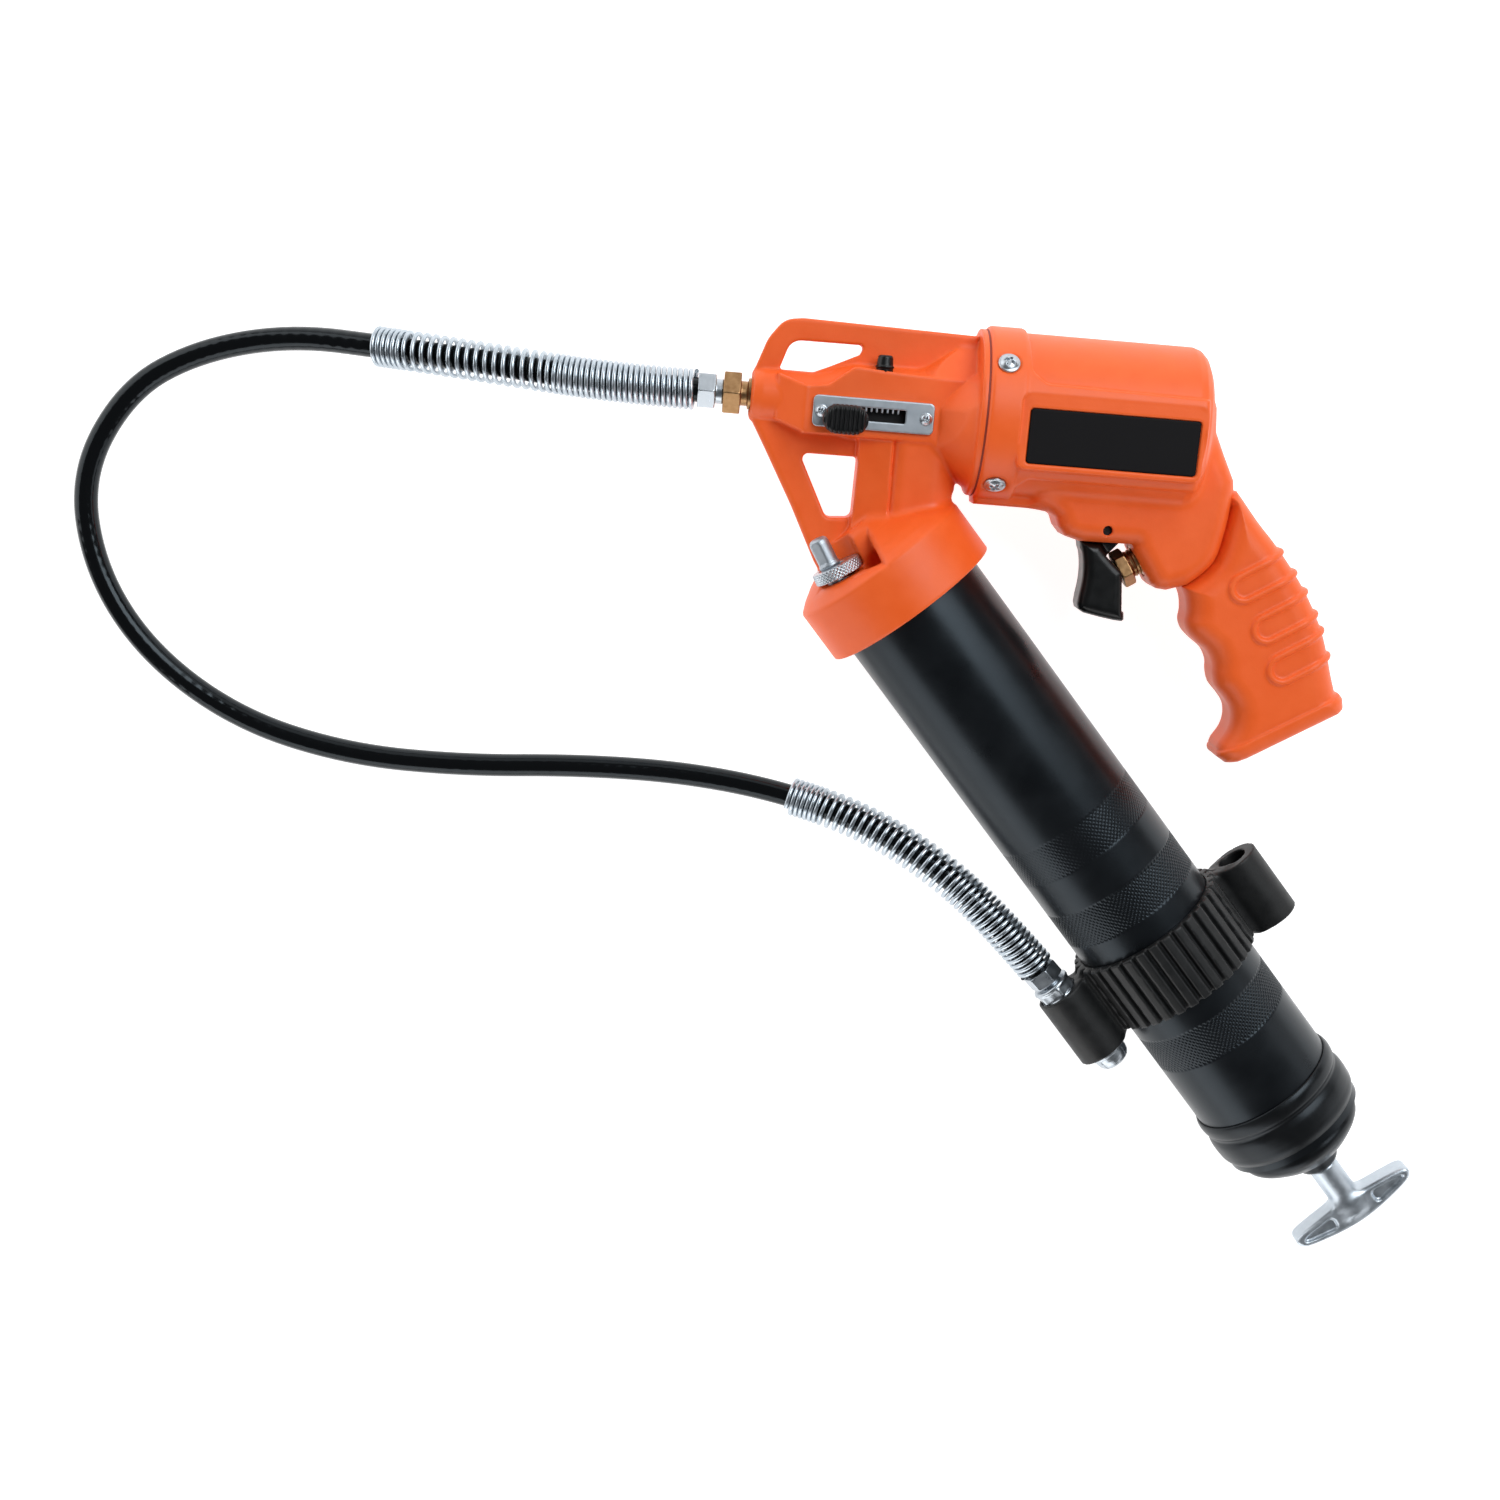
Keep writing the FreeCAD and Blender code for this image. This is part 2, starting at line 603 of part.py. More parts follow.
def end_boot():
    """Rubber boot over the end of the barrel, with two rolls and a nose round the rod."""
    profile = [(BOOT_LIP, TUBE_R), (BOOT_LIP, 29.4), (333.0, 30.0), (337.5, 29.7), (340.0, 29.2),
               (343.0, 30.0), (348.0, 30.1), (352.5, 29.0), (355.5, 27.0), (357.0, 25.4), (359.5, 25.9),
               (362.0, 24.8), (365.0, 21.8), (368.0, 17.0), (370.3, 11.0), (371.2, 9.4),
               (BOOT_NOSE, 7.0), (BOOT_NOSE, ROD_R + 0.4), (366.0, ROD_R + 0.4), (366.0, 8.0),
               (TUBE_END, 8.0), (TUBE_END, TUBE_R)]
    return turned(profile, Vector(0, 0, 0), DOWN, ACROSS)


def pull_rod():
    return rod(ROD_R, on_barrel(94.0), on_barrel(388.0))


def t_handle():
    """Cast pull handle: a shank and a slightly bowed bar across it."""
    shank = rod(HANDLE_SHANK_R, on_barrel(BOOT_NOSE + 0.4), on_barrel(397.0))
    corners = [(392.6, -6.0), (393.8, -24.0), (396.4, -HANDLE_HALF), (399.4, -23.6), (402.2, 0.0),
               (399.4, 23.6), (396.4, HANDLE_HALF), (393.8, 24.0), (392.6, 6.0)]
    points = [on_barrel(s, n) for s, n in corners]
    bar = outline([(p.x, p.y) for p in points], -5.0, 5.0)
    return shank.fuse(bar).cut(rod(ROD_R, on_barrel(370.0), on_barrel(388.0))).removeSplitter()


def follower_cup():
    """Rubber cup that pushes the grease, with its lip towards the head."""
    cup = rod(TUBE_R - TUBE_WALL - 0.08, on_barrel(100.0), on_barrel(112.0))
    cup = cup.cut(tube(24.5, 20.0, on_barrel(100.0), on_barrel(105.0)))
    return cup.cut(rod(ROD_R + RUNNING, on_barrel(99.0), on_barrel(113.0)))


def follower_front_plate():
    return tube(19.0, ROD_R + RUNNING, on_barrel(FOLLOWER_TOP), on_barrel(100.0))


def follower_back_plate():
    return tube(25.0, ROD_R + RUNNING, on_barrel(112.0), on_barrel(114.0))


def rod_clips():
    front = tube(7.0, ROD_R, on_barrel(95.5), on_barrel(97.9))
    back = tube(7.0, ROD_R, on_barrel(114.1), on_barrel(115.6))
    return Part.makeCompound([front, back])


def follower_spring():
    return coil_spring(on_barrel(114.1), on_barrel(349.9), 18.0, 1.1, 20)


# Hose holder and hose.
def holder_point(s, reach, turn_sign):
    """A point at the socket's radius, on the loop side (-1) or the grip side (+1) of the barrel."""
    turn = math.radians(HOLDER_TURN)
    return on_barrel(s, turn_sign * reach * math.cos(turn), -turn_sign * reach * math.sin(turn))


def coupler_axis():
    tilt = math.radians(COUPLER_TILT)
    outward = (holder_point(0, 1.0, -1))
    return (DOWN * math.cos(tilt) - outward * math.sin(tilt)).normalize()


def on_coupler(s):
    """The point of the coupler's axis that is level with s on the barrel, near enough."""
    middle = (SOCKET_TOP + SOCKET_BOTTOM) / 2
    return holder_point(middle, SOCKET_REACH, -1) + coupler_axis() * (s - middle)


def hose_holder():
    solid = rod(TUBE_R + 3.0, on_barrel(HOLDER_TOP), on_barrel(HOLDER_BOTTOM))
    for sign in (-1, 1):
        socket = rod(SOCKET_R, holder_point(SOCKET_TOP, SOCKET_REACH, sign),
                     holder_point(SOCKET_BOTTOM, SOCKET_REACH, sign))
        inner = holder_point(SOCKET_TOP, TUBE_R - 6.0, sign)
        reach = holder_point(SOCKET_TOP, SOCKET_REACH, sign)
        side = (reach - inner).cross(DOWN).normalize() * 6.0
        web = Part.Face(Part.makePolygon([inner + side, reach + side, reach - side, inner - side, inner + side]))
        solid = solid.fuse([socket, web.extrude(DOWN * (HOLDER_BOTTOM - SOCKET_TOP))])
    solid = solid.cut(rod(TUBE_R, on_barrel(HOLDER_TOP - 2.0), on_barrel(SOCKET_BOTTOM + 2.0)))
    solid = solid.cut(rod(COUPLER_R + 0.15, on_coupler(SOCKET_TOP - 4.0), on_coupler(SOCKET_BOTTOM + 4.0)))
    solid = solid.cut(rod(SPARE_BORE_R, holder_point(SOCKET_TOP - 2.0, SOCKET_REACH, 1),
                          holder_point(SOCKET_BOTTOM + 2.0, SOCKET_REACH, 1)))
    return solid.removeSplitter()


def hose_ferrule_head():
    solid = rod(4.6, on_pump(-15.6), on_pump(-12.8)).fuse(hex_bar(12.4, on_pump(-22.2), on_pump(-15.6), turn=30.0))
    return solid.cut(rod(1.8, on_pump(-22.2), on_pump(-12.8))).removeSplitter()


def hose_ferrule_tip():
    start = Vector(*ROUTE[-1])
    away = coupler_axis()
    solid = hex_bar(12.4, start, start + away * 6.0).fuse(rod(4.6, start + away * 6.0, start + away * 7.2))
    return solid.cut(rod(1.8, start, start + away * 7.2)).removeSplitter()


def coupler_body():
    start = Vector(*ROUTE[-1])
    away = coupler_axis()
    solid = hex_bar(14.0, start + away * 7.2, start + away * 12.2)
    solid = solid.fuse(rod(COUPLER_R, start + away * 12.2, start + away * 43.0))
    return solid.cut(rod(2.2, start + away * 7.2, start + away * 43.0)).removeSplitter()


def coupler_jaws():
    start = Vector(*ROUTE[-1]) + coupler_axis() * 43.0
    solid = turned([(0, 0), (0, 6.9), (1.6, 6.8), (3.2, 6.0), (4.4, 4.6), (4.4, 0)],
                   start, coupler_axis(), Z_AXIS.cross(coupler_axis()).normalize())
    return solid.cut(rod(3.3, start - coupler_axis(), start + coupler_axis() * 5.0))


def hose_parts():
    """The hose and the two spring guards round it, as plain tubes on the route."""
    points = [Vector(*p) for p in ROUTE]
    edges, radii = route_pieces(points)
    print("hose arc radii:", " ".join("%.0f" % r for r in radii))
    hose = pipe(edges, HOSE_R)
    length = sum(edge.Length for edge in edges)
    print("hose length %.1f, volume ratio %.4f" % (length, hose.Volume / (math.pi * HOSE_R ** 2 * length)))
    head = pipe(cut_chain(edges, GUARD_HEAD_LENGTH), GUARD_R)
    back_edges, _ = route_pieces(list(reversed(points)))
    tip = pipe(cut_chain(back_edges, GUARD_TIP_LENGTH), GUARD_R)
    return hose, head.cut(hose), tip.cut(hose)


def main():
    hose, guard_head, guard_tip = hose_parts()
    parts = {
        "hose": hose,
        "spring_guard_head": guard_head,
        "spring_guard_tip": guard_tip,
    }
    for make in (head_casting, pump_sleeve, outlet_adapter, check_ball, check_spring, bleed_valve_body,
                 bleed_valve_stem, bleed_valve_spring, selector_plate, selector_screws, selector_knob,
                 release_button, release_button_spring, motor_housing, housing_gasket, housing_screws,
                 name_labels, air_piston, piston_seal, pump_plunger, plunger_clip, piston_return_spring,
                 rod_packing, grip, air_inlet_bush, trigger, trigger_pin, trigger_valve_body,
                 trigger_valve_stem, trigger_valve_spring, barrel_gasket, barrel_tube, barrel_end_cap,
                 end_boot, pull_rod, t_handle, follower_cup, follower_front_plate, follower_back_plate,
                 rod_clips, follower_spring, hose_holder, hose_ferrule_head, hose_ferrule_tip,
                 coupler_body, coupler_jaws):
        parts[make.__name__] = make()
    os.makedirs("parts", exist_ok=True)
    for name, shape in parts.items():
        shape.translate(Vector(*DATUM))
        if not shape.isValid():
            print("not valid:", name)
        shape.exportStep("parts/%s.step" % name)
    print("%d nodes" % len(parts))


main()
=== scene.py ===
"""Air grease gun on a white studio table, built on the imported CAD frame.

Shapes are worked out in the gun frame, in millimetres: X runs along the pump and motor axis towards
the grip, Y points to the top of the motor, Z is across the gun, and the datum is where the barrel
axis meets the pump axis. Everything is moved to the row frame, in metres, when its mesh is made.
"""
import math

import bpy
import numpy as np
from mathutils import Matrix, Vector


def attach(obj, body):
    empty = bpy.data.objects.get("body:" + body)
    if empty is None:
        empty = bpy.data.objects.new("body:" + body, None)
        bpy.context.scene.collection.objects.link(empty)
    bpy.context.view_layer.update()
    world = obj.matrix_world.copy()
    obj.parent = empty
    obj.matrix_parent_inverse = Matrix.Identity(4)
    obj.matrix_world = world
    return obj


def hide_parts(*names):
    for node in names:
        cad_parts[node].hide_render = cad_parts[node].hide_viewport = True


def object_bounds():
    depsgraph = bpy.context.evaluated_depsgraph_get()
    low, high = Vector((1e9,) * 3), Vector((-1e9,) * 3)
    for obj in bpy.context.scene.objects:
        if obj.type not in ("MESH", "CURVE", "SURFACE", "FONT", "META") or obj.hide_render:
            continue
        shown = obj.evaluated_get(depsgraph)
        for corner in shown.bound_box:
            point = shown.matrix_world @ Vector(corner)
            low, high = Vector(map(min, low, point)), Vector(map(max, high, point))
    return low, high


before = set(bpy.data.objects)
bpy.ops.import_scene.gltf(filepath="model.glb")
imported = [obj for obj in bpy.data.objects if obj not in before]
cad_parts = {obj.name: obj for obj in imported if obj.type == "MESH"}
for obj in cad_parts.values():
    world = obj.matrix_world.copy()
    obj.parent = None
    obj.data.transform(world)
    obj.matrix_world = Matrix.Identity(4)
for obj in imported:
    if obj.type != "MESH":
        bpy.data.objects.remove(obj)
cad_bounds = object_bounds()

MM = 0.001
DATUM = np.array((-134.39, 141.81, 35.2))
BARREL_ANGLE = math.radians(48.65)
DOWN = np.array((math.cos(BARREL_ANGLE), -math.sin(BARREL_ANGLE), 0.0))
ACROSS = np.array((math.sin(BARREL_ANGLE), math.cos(BARREL_ANGLE), 0.0))
OUT = np.array((0.0, 0.0, 1.0))
PUMP = np.array((1.0, 0.0, 0.0))
UP = np.array((0.0, 1.0, 0.0))

scene = bpy.context.scene


def row(points):
    """Gun-frame millimetres to row-frame metres."""
    return (np.asarray(points, float) + DATUM) * MM


def on_barrel(s, n=0.0, z=0.0):
    return DOWN * s + ACROSS * n + OUT * z


def unit(v):
    v = np.asarray(v, float)
    return v / np.linalg.norm(v)


def link(name, data):
    """A new object in the scene."""
    obj = bpy.data.objects.new(name, data)
    scene.collection.objects.link(obj)
    return obj


# ---- camera
camera = link("camera", bpy.data.cameras.new("camera"))
camera.data.sensor_fit = "HORIZONTAL"
camera.data.sensor_width = 36.0
camera.data.lens = 48.0
camera.data.clip_start = 0.01
camera.data.clip_end = 50.0
look = unit((0.0151, -0.1851, -0.9826))
side = unit((0.99668, 0.08136, 0.0))
rise = np.cross(side, look)
eye = row((-3.52, 7.95, 750.0))
camera.matrix_world = Matrix([[side[i], rise[i], -look[i], eye[i]] for i in range(3)] + [[0, 0, 0, 1]])
scene.camera = camera


# ---- materials
def shader(name, colour, metallic=0.0, roughness=0.5, **sockets):
    mat = bpy.data.materials.new(name)
    mat.use_nodes = True
    bsdf = mat.node_tree.nodes["Principled BSDF"]
    bsdf.inputs["Base Color"].default_value = (*colour, 1.0)
    bsdf.inputs["Metallic"].default_value = metallic
    bsdf.inputs["Roughness"].default_value = roughness
    for socket, value in sockets.items():
        bsdf.inputs[socket.replace("_", " ")].default_value = value
    return mat, mat.node_tree, bsdf


def noise(tree, size, detail=3.0):
    """A noise of the given feature size in millimetres, in the row frame."""
    where = tree.nodes.new("ShaderNodeTexCoord")
    tex = tree.nodes.new("ShaderNodeTexNoise")
    tex.inputs["Scale"].default_value = 1.0 / (size * MM)
    tex.inputs["Detail"].default_value = detail
    tree.links.new(where.outputs["Object"], tex.inputs["Vector"])
    return tex.outputs["Fac"]


def ramp(tree, source, low, high):
    """Maps the middle of a 0..1 source to a range of numbers or colours."""
    steps = tree.nodes.new("ShaderNodeMapRange")
    steps.inputs["From Min"].default_value = 0.3
    steps.inputs["From Max"].default_value = 0.7
    tree.links.new(source, steps.inputs["Value"])
    if not isinstance(low, tuple):
        steps.inputs["To Min"].default_value = low
        steps.inputs["To Max"].default_value = high
        return steps.outputs["Result"]
    mix = tree.nodes.new("ShaderNodeMix")
    mix.data_type = "RGBA"
    tree.links.new(steps.outputs["Result"], mix.inputs["Factor"])
    mix.inputs["A"].default_value = (*low, 1.0)
    mix.inputs["B"].default_value = (*high, 1.0)
    return mix.outputs["Result"]


def bump(tree, bsdf, source, height):
    """Raises the surface by height millimetres where the source is 1."""
    node = tree.nodes.new("ShaderNodeBump")
    node.inputs["Strength"].default_value = 1.0
    node.inputs["Distance"].default_value = height * MM
    tree.links.new(source, node.inputs["Height"])
    old = bsdf.inputs["Normal"].links
    if old:
        tree.links.new(old[0].from_socket, node.inputs["Normal"])
    tree.links.new(node.outputs["Normal"], bsdf.inputs["Normal"])


def finish_of(name, low, high, spot, rough_low, rough_high, metallic=0.0, grain=None, swell=None,
              **sockets):
    """A finish with patchy colour and roughness. Its fine grain and slow swell are (size, height) in mm."""
    mat, tree, bsdf = shader(name, low, metallic, rough_low, **sockets)
    patches = noise(tree, spot, 4.0)
    tree.links.new(ramp(tree, patches, low, high), bsdf.inputs["Base Color"])
    tree.links.new(ramp(tree, patches, rough_low, rough_high), bsdf.inputs["Roughness"])
    for layer in (swell, grain):
        if layer:
            bump(tree, bsdf, noise(tree, layer[0], 2.0), layer[1])
    return mat


M = {
    "orange": finish_of("orange_paint", (0.860, 0.114, 0.014), (0.900, 0.128, 0.019), 9.0, 0.40, 0.48,
                        grain=(0.6, 0.035), swell=(6.0, 0.05), Specular_IOR_Level=0.42),
    "barrel": finish_of("black_tube", (0.0030, 0.0033, 0.0040), (0.0055, 0.0060, 0.0070), 14.0, 0.27, 0.34,
                        grain=(0.4, 0.006), Specular_IOR_Level=0.36, Specular_Tint=(0.74, 0.88, 1.0, 1.0)),
    "rubber": finish_of("black_rubber", (0.0040, 0.0044, 0.0048), (0.0080, 0.0084, 0.0088), 5.0, 0.42, 0.54,
                        grain=(0.5, 0.02), Specular_IOR_Level=0.4),
    "boot": finish_of("boot_rubber", (0.0036, 0.0038, 0.0041), (0.0065, 0.0066, 0.0068), 8.0, 0.28, 0.38,
                      grain=(0.5, 0.008), Specular_IOR_Level=0.3, Specular_Tint=(0.8, 0.9, 1.0, 1.0)),
    "plastic": finish_of("black_plastic", (0.0030, 0.0034, 0.0036), (0.0045, 0.0048, 0.0050), 4.0, 0.28, 0.36,
                         grain=(0.4, 0.004), Specular_IOR_Level=0.34),
    "label": finish_of("label_black", (0.0056, 0.0050, 0.0057), (0.0066, 0.0060, 0.0067), 12.0, 0.55, 0.62,
                       Specular_IOR_Level=0.12),
    "zinc": finish_of("zinc_steel", (0.44, 0.48, 0.52), (0.52, 0.56, 0.60), 2.5, 0.26, 0.36, 1.0,
                      grain=(0.5, 0.004)),
    "satin": finish_of("satin_steel", (0.40, 0.44, 0.48), (0.46, 0.50, 0.54), 3.0, 0.45, 0.52, 1.0,
                       grain=(0.5, 0.004)),
    "wire": finish_of("guard_wire", (0.46, 0.52, 0.57), (0.56, 0.61, 0.66), 3.0, 0.24, 0.34, 1.0),
    "chrome": finish_of("chrome_steel", (0.80, 0.81, 0.83), (0.86, 0.87, 0.88), 6.0, 0.06, 0.12, 1.0),
    "steel": finish_of("steel", (0.45, 0.46, 0.48), (0.56, 0.57, 0.58), 3.0, 0.25, 0.40, 1.0,
                       grain=(0.5, 0.005)),
    "black_steel": finish_of("black_steel", (0.010, 0.010, 0.011), (0.020, 0.020, 0.021), 2.0, 0.45, 0.55,
                             0.6),
    "cast": finish_of("zinc_cast", (0.48, 0.53, 0.58), (0.58, 0.63, 0.68), 3.5, 0.34, 0.46, 1.0,
                      grain=(0.7, 0.015), swell=(3.0, 0.05)),
    "brass": finish_of("brass", (0.30, 0.165, 0.075), (0.42, 0.25, 0.12), 2.0, 0.30, 0.42, 1.0,
                       grain=(0.5, 0.005)),
    "gasket": finish_of("gasket", (0.20, 0.020, 0.008), (0.26, 0.030, 0.012), 3.0, 0.55, 0.65),
}


def hose_finish():
    """Glossy hose cover with the faint rings of its braid showing through."""
    mat, tree, bsdf = shader("hose_black", (0.0030, 0.0032, 0.0036), 0.0, 0.14, Specular_IOR_Level=0.3,
                             Specular_Tint=(0.8, 0.92, 1.0, 1.0))
    tree.links.new(ramp(tree, noise(tree, 10.0), 0.11, 0.18), bsdf.inputs["Roughness"])
    where = tree.nodes.new("ShaderNodeTexCoord")
    wave = tree.nodes.new("ShaderNodeTexWave")
    wave.bands_direction = "X"
    wave.inputs["Scale"].default_value = 46.0
    wave.inputs["Distortion"].default_value = 0.6
    wave.inputs["Detail"].default_value = 1.0
    tree.links.new(where.outputs["UV"], wave.inputs["Vector"])
    bump(tree, bsdf, wave.outputs["Fac"], 0.05)
    return mat


M["hose"] = hose_finish()


# ---- distance fields
# A shape is a function of p = (x, y, z) arrays that returns the distance to its surface, below 0 inside.
def join(a, b, k):
    """Union, with a fillet of about k."""
    h = np.maximum(k - np.abs(a - b), 0.0) / k
    return np.minimum(a, b) - h * h * (k / 4)


def cut(a, b, k):
    """a without b."""
    return -join(-a, b, k)


def both(a, b, k):
    """Where a and b overlap."""
    return -join(-a, -b, k)


def corner(u, v, edge):
    """Where two walls meet, with the edge rounded."""
    u = u + edge
    v = v + edge
    return np.minimum(np.maximum(u, v), 0.0) + np.hypot(np.maximum(u, 0.0), np.maximum(v, 0.0)) - edge


def offset(p, start):
    """Each coordinate, counted from a point."""
    return [p[i] - float(start[i]) for i in range(3)]


def dot(a, way):
    return a[0] * float(way[0]) + a[1] * float(way[1]) + a[2] * float(way[2])


def polygon(u, v, points):
    """Distance to a closed outline of (u, v) points."""
    best = inside = None
    for (ax, ay), (bx, by) in zip(points, points[1:] + points[:1]):
        ex, ey = bx - ax, by - ay
        if ex * ex + ey * ey < 1e-9:
            continue
        wx, wy = u - ax, v - ay
        t = np.clip((wx * ex + wy * ey) / (ex * ex + ey * ey), 0.0, 1.0)
        d = (wx - ex * t) ** 2 + (wy - ey * t) ** 2
        best = d if best is None else np.minimum(best, d)
        if abs(ey) > 1e-9:
            crossed = ((ay > v) != (by > v)) & (u < ax + (v - ay) * (ex / ey))
            inside = crossed if inside is None else inside ^ crossed
    return np.where(inside, -1.0, 1.0).astype(np.float32) * np.sqrt(best)


def slab(p, points, low, high, edge=0.0):
    """An outline in the gun's plane, between two heights."""
    d = polygon(p[0], p[1], points)
    h = np.abs(p[2] - (low + high) / 2) - (high - low) / 2
    return corner(d, h, edge)


def polar(p, start, axis):
    """Distance along an axis, and from it."""
    a = offset(p, start)
    t = dot(a, axis)
    r = np.sqrt(np.maximum(a[0] ** 2 + a[1] ** 2 + a[2] ** 2 - t * t, 0.0))
    return t, r


def bar(p, start, end, radius, edge=0.0):
    """A round bar."""
    start, end = np.asarray(start, float), np.asarray(end, float)
    half = np.linalg.norm(end - start) / 2
    t, r = polar(p, (start + end) / 2, unit(end - start))
    return corner(r - radius, np.abs(t) - half, edge)


def pin(p, start, way, first, last, radius, edge=0.0):
    """A round bar between two distances along a direction."""
    return bar(p, start + way * first, start + way * last, radius, edge)


def turned(p, start, axis, profile, edge=0.0):
    """A solid of revolution from (along, radius) points."""
    t, r = polar(p, start, axis)
    points = list(profile) + [(profile[-1][0], -80.0), (profile[0][0], -80.0)]
    return polygon(t, r + edge, points) - edge if edge else polygon(t, r, points)


def hexagon(p, start, end, flats, turn):
    """A hexagonal bar with turned chamfers. turn is in degrees, from the Z direction."""
    start, end = np.asarray(start, float), np.asarray(end, float)
    axis = unit(end - start)
    u = unit(np.cross(axis, OUT))
    w = np.cross(u, axis)
    a = offset(p, start)
    d = None
    for step in range(3):
        angle = math.radians(60 * step + turn)
        n = w * math.cos(angle) + u * math.sin(angle)
        wall = np.abs(dot(a, n)) - flats / 2
        d = wall if d is None else np.maximum(d, wall)
    t, r = polar(p, start, axis)
    half = float(np.linalg.norm(end - start)) / 2
    t = np.abs(t - half)
    d = np.maximum(d, t - half)
    slope, chamfer = 1.6, 0.385
    crown = r + t * slope - (flats / math.sqrt(3) + (half - chamfer) * slope)
    return both(d, crown / 1.9, 0.3)


def rounded(points, radius):
    """An outline with its corners rounded. radius is one number, or one for each corner."""
    out = []
    steps = 4
    count = len(points)
    for i, here in enumerate(points):
        r = radius[i] if isinstance(radius, (list, tuple)) else radius
        here = np.array(here, float)
        back = np.array(points[i - 1], float) - here
        ahead = np.array(points[(i + 1) % count], float) - here
        lb, la = np.linalg.norm(back), np.linalg.norm(ahead)
        back, ahead = back / lb, ahead / la
        turn = math.acos(max(-1.0, min(1.0, float(back @ ahead))))
        if r <= 0 or turn > math.radians(176):
            out.append(tuple(here))
            continue
        reach = min(r / math.tan(turn / 2), 0.48 * lb, 0.48 * la)
        r = reach * math.tan(turn / 2)
        middle = here + unit(back + ahead) * (r / math.sin(turn / 2))
        first, last = here + back * reach - middle, here + ahead * reach - middle
        for step in range(steps + 1):
            t = step / steps
            v = first * (1 - t) + last * t
            out.append(tuple(middle + unit(v) * r))
    return out


def curve(points, steps, closed=False):
    """A smooth line through points."""
    pts = [np.array(q, float) for q in points]
    if closed:
        pts = [pts[-1]] + pts + pts[:2]
    else:
        pts = [2 * pts[0] - pts[1]] + pts + [2 * pts[-1] - pts[-2]]
    out = []
    for i in range(1, len(pts) - 2):
        a, b, c, d = pts[i - 1:i + 3]
        for step in range(steps):
            t = step / steps
            out.append(tuple(0.5 * (2 * b + (c - a) * t + (2 * a - 5 * b + 4 * c - d) * t * t
                                    + (3 * b - a - 3 * c + d) * t ** 3)))
    if not closed:
        out.append(tuple(pts[-2]))
    return out


def box_points(left, right, low, high):
    return [(left, low), (right, low), (right, high), (left, high)]


def surface(shape, low, high, step):
    """Surface nets: the shape's surface as points and quads, with the points pulled onto it."""
    low = np.array(low, float)
    counts = np.ceil((np.array(high, float) - low) / step).astype(int) + 1
    axes = [(low[i] + step * np.arange(counts[i])).astype(np.float32) for i in range(3)]
    grid = (axes[0][:, None, None], axes[1][None, :, None], axes[2][None, None, :])
    value = np.ascontiguousarray(np.broadcast_to(shape(grid), counts), np.float32)
    inside = value < 0
    cells = tuple(counts - 1)
    some = np.zeros(cells, bool)
    every = np.ones(cells, bool)
    offsets = [(i, j, k) for i in (0, 1) for j in (0, 1) for k in (0, 1)]
    for i, j, k in offsets:
        at_corner = inside[i:i + cells[0], j:j + cells[1], k:k + cells[2]]
        some |= at_corner
        every &= at_corner
    active = some & ~every
    index = np.argwhere(active)
    number = np.full(cells, -1, np.int64)
    number[active] = np.arange(len(index))
    total = np.zeros((len(index), 3))
    count = np.zeros(len(index))
    for a in offsets:
        for axis in range(3):
            if a[axis]:
                continue
            b = list(a)
            b[axis] = 1
            va = value[tuple((index + a).T)]
            vb = value[tuple((index + b).T)]
            crossed = (va < 0) != (vb < 0)
            t = va[crossed] / (va[crossed] - vb[crossed])
            point = (index[crossed] + a).astype(float)
            point[:, axis] += t
            total[crossed] += point
            count[crossed] += 1
    points = low + step * total / count[:, None]
    h = 0.3 * step
    for _ in range(2):
        q = points.T
        d = shape((q[0], q[1], q[2]))
        slope = np.empty_like(points)
        for axis in range(3):
            up, down = list(q), list(q)
            up[axis] = q[axis] + h
            down[axis] = q[axis] - h
            slope[:, axis] = (shape(tuple(up)) - shape(tuple(down))) / (2 * h)
        size = np.maximum((slope ** 2).sum(1), 0.05)
        move = slope * (d / size)[:, None]
        far = np.linalg.norm(move, axis=1)
        move *= np.minimum(1.0, 0.6 * step / np.maximum(far, 1e-9))[:, None]
        points = points - move
    quads = []
    for axis in range(3):
        one, two = (axis + 1) % 3, (axis + 2) % 3
        first, second = [slice(None)] * 3, [slice(None)] * 3
        first[axis] = slice(0, -1)
        second[axis] = slice(1, None)
        start = inside[tuple(first)]
        change = start != inside[tuple(second)]
        for other, end in ((one, 0), (one, -1), (two, 0), (two, -1)):
            edge = [slice(None)] * 3
            edge[other] = end
            change[tuple(edge)] = False
        at = np.argwhere(change)
        ring = []
        for da, db in ((-1, -1), (0, -1), (0, 0), (-1, 0)):
            cell = at.copy()
            cell[:, one] += da
            cell[:, two] += db
            ring.append(number[tuple(cell.T)])
        quad = np.stack(ring, 1)
        back = ~start[tuple(at.T)]
        quad[back] = quad[back][:, ::-1]
        quads.append(quad)
    return points, np.concatenate(quads)


# ---- pieces
def mesh_object(name, points, faces, material, sharp=None):
    """points are in gun-frame millimetres, and faces is an array of quads."""
    mesh = bpy.data.meshes.new(name)
    mesh.vertices.add(len(points))
    mesh.vertices.foreach_set("co", row(points).astype(np.float32).ravel())
    mesh.loops.add(faces.size)
    mesh.loops.foreach_set("vertex_index", faces.astype(np.int32).ravel())
    mesh.polygons.add(len(faces))
    mesh.polygons.foreach_set("loop_start", np.arange(len(faces), dtype=np.int32) * 4)
    mesh.update(calc_edges=True)
    mesh.validate()
    mesh.shade_smooth()
    if sharp:
        mesh.set_sharp_from_angle(angle=math.radians(sharp))
    mesh.materials.append(material)
    return link(name, mesh)


def place(obj, body, slot, *nodes):
    """Puts a piece on its body and hides the CAD nodes it stands for. The slot is not used."""
    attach(obj, body)
    if nodes:
        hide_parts(*nodes)
    return obj


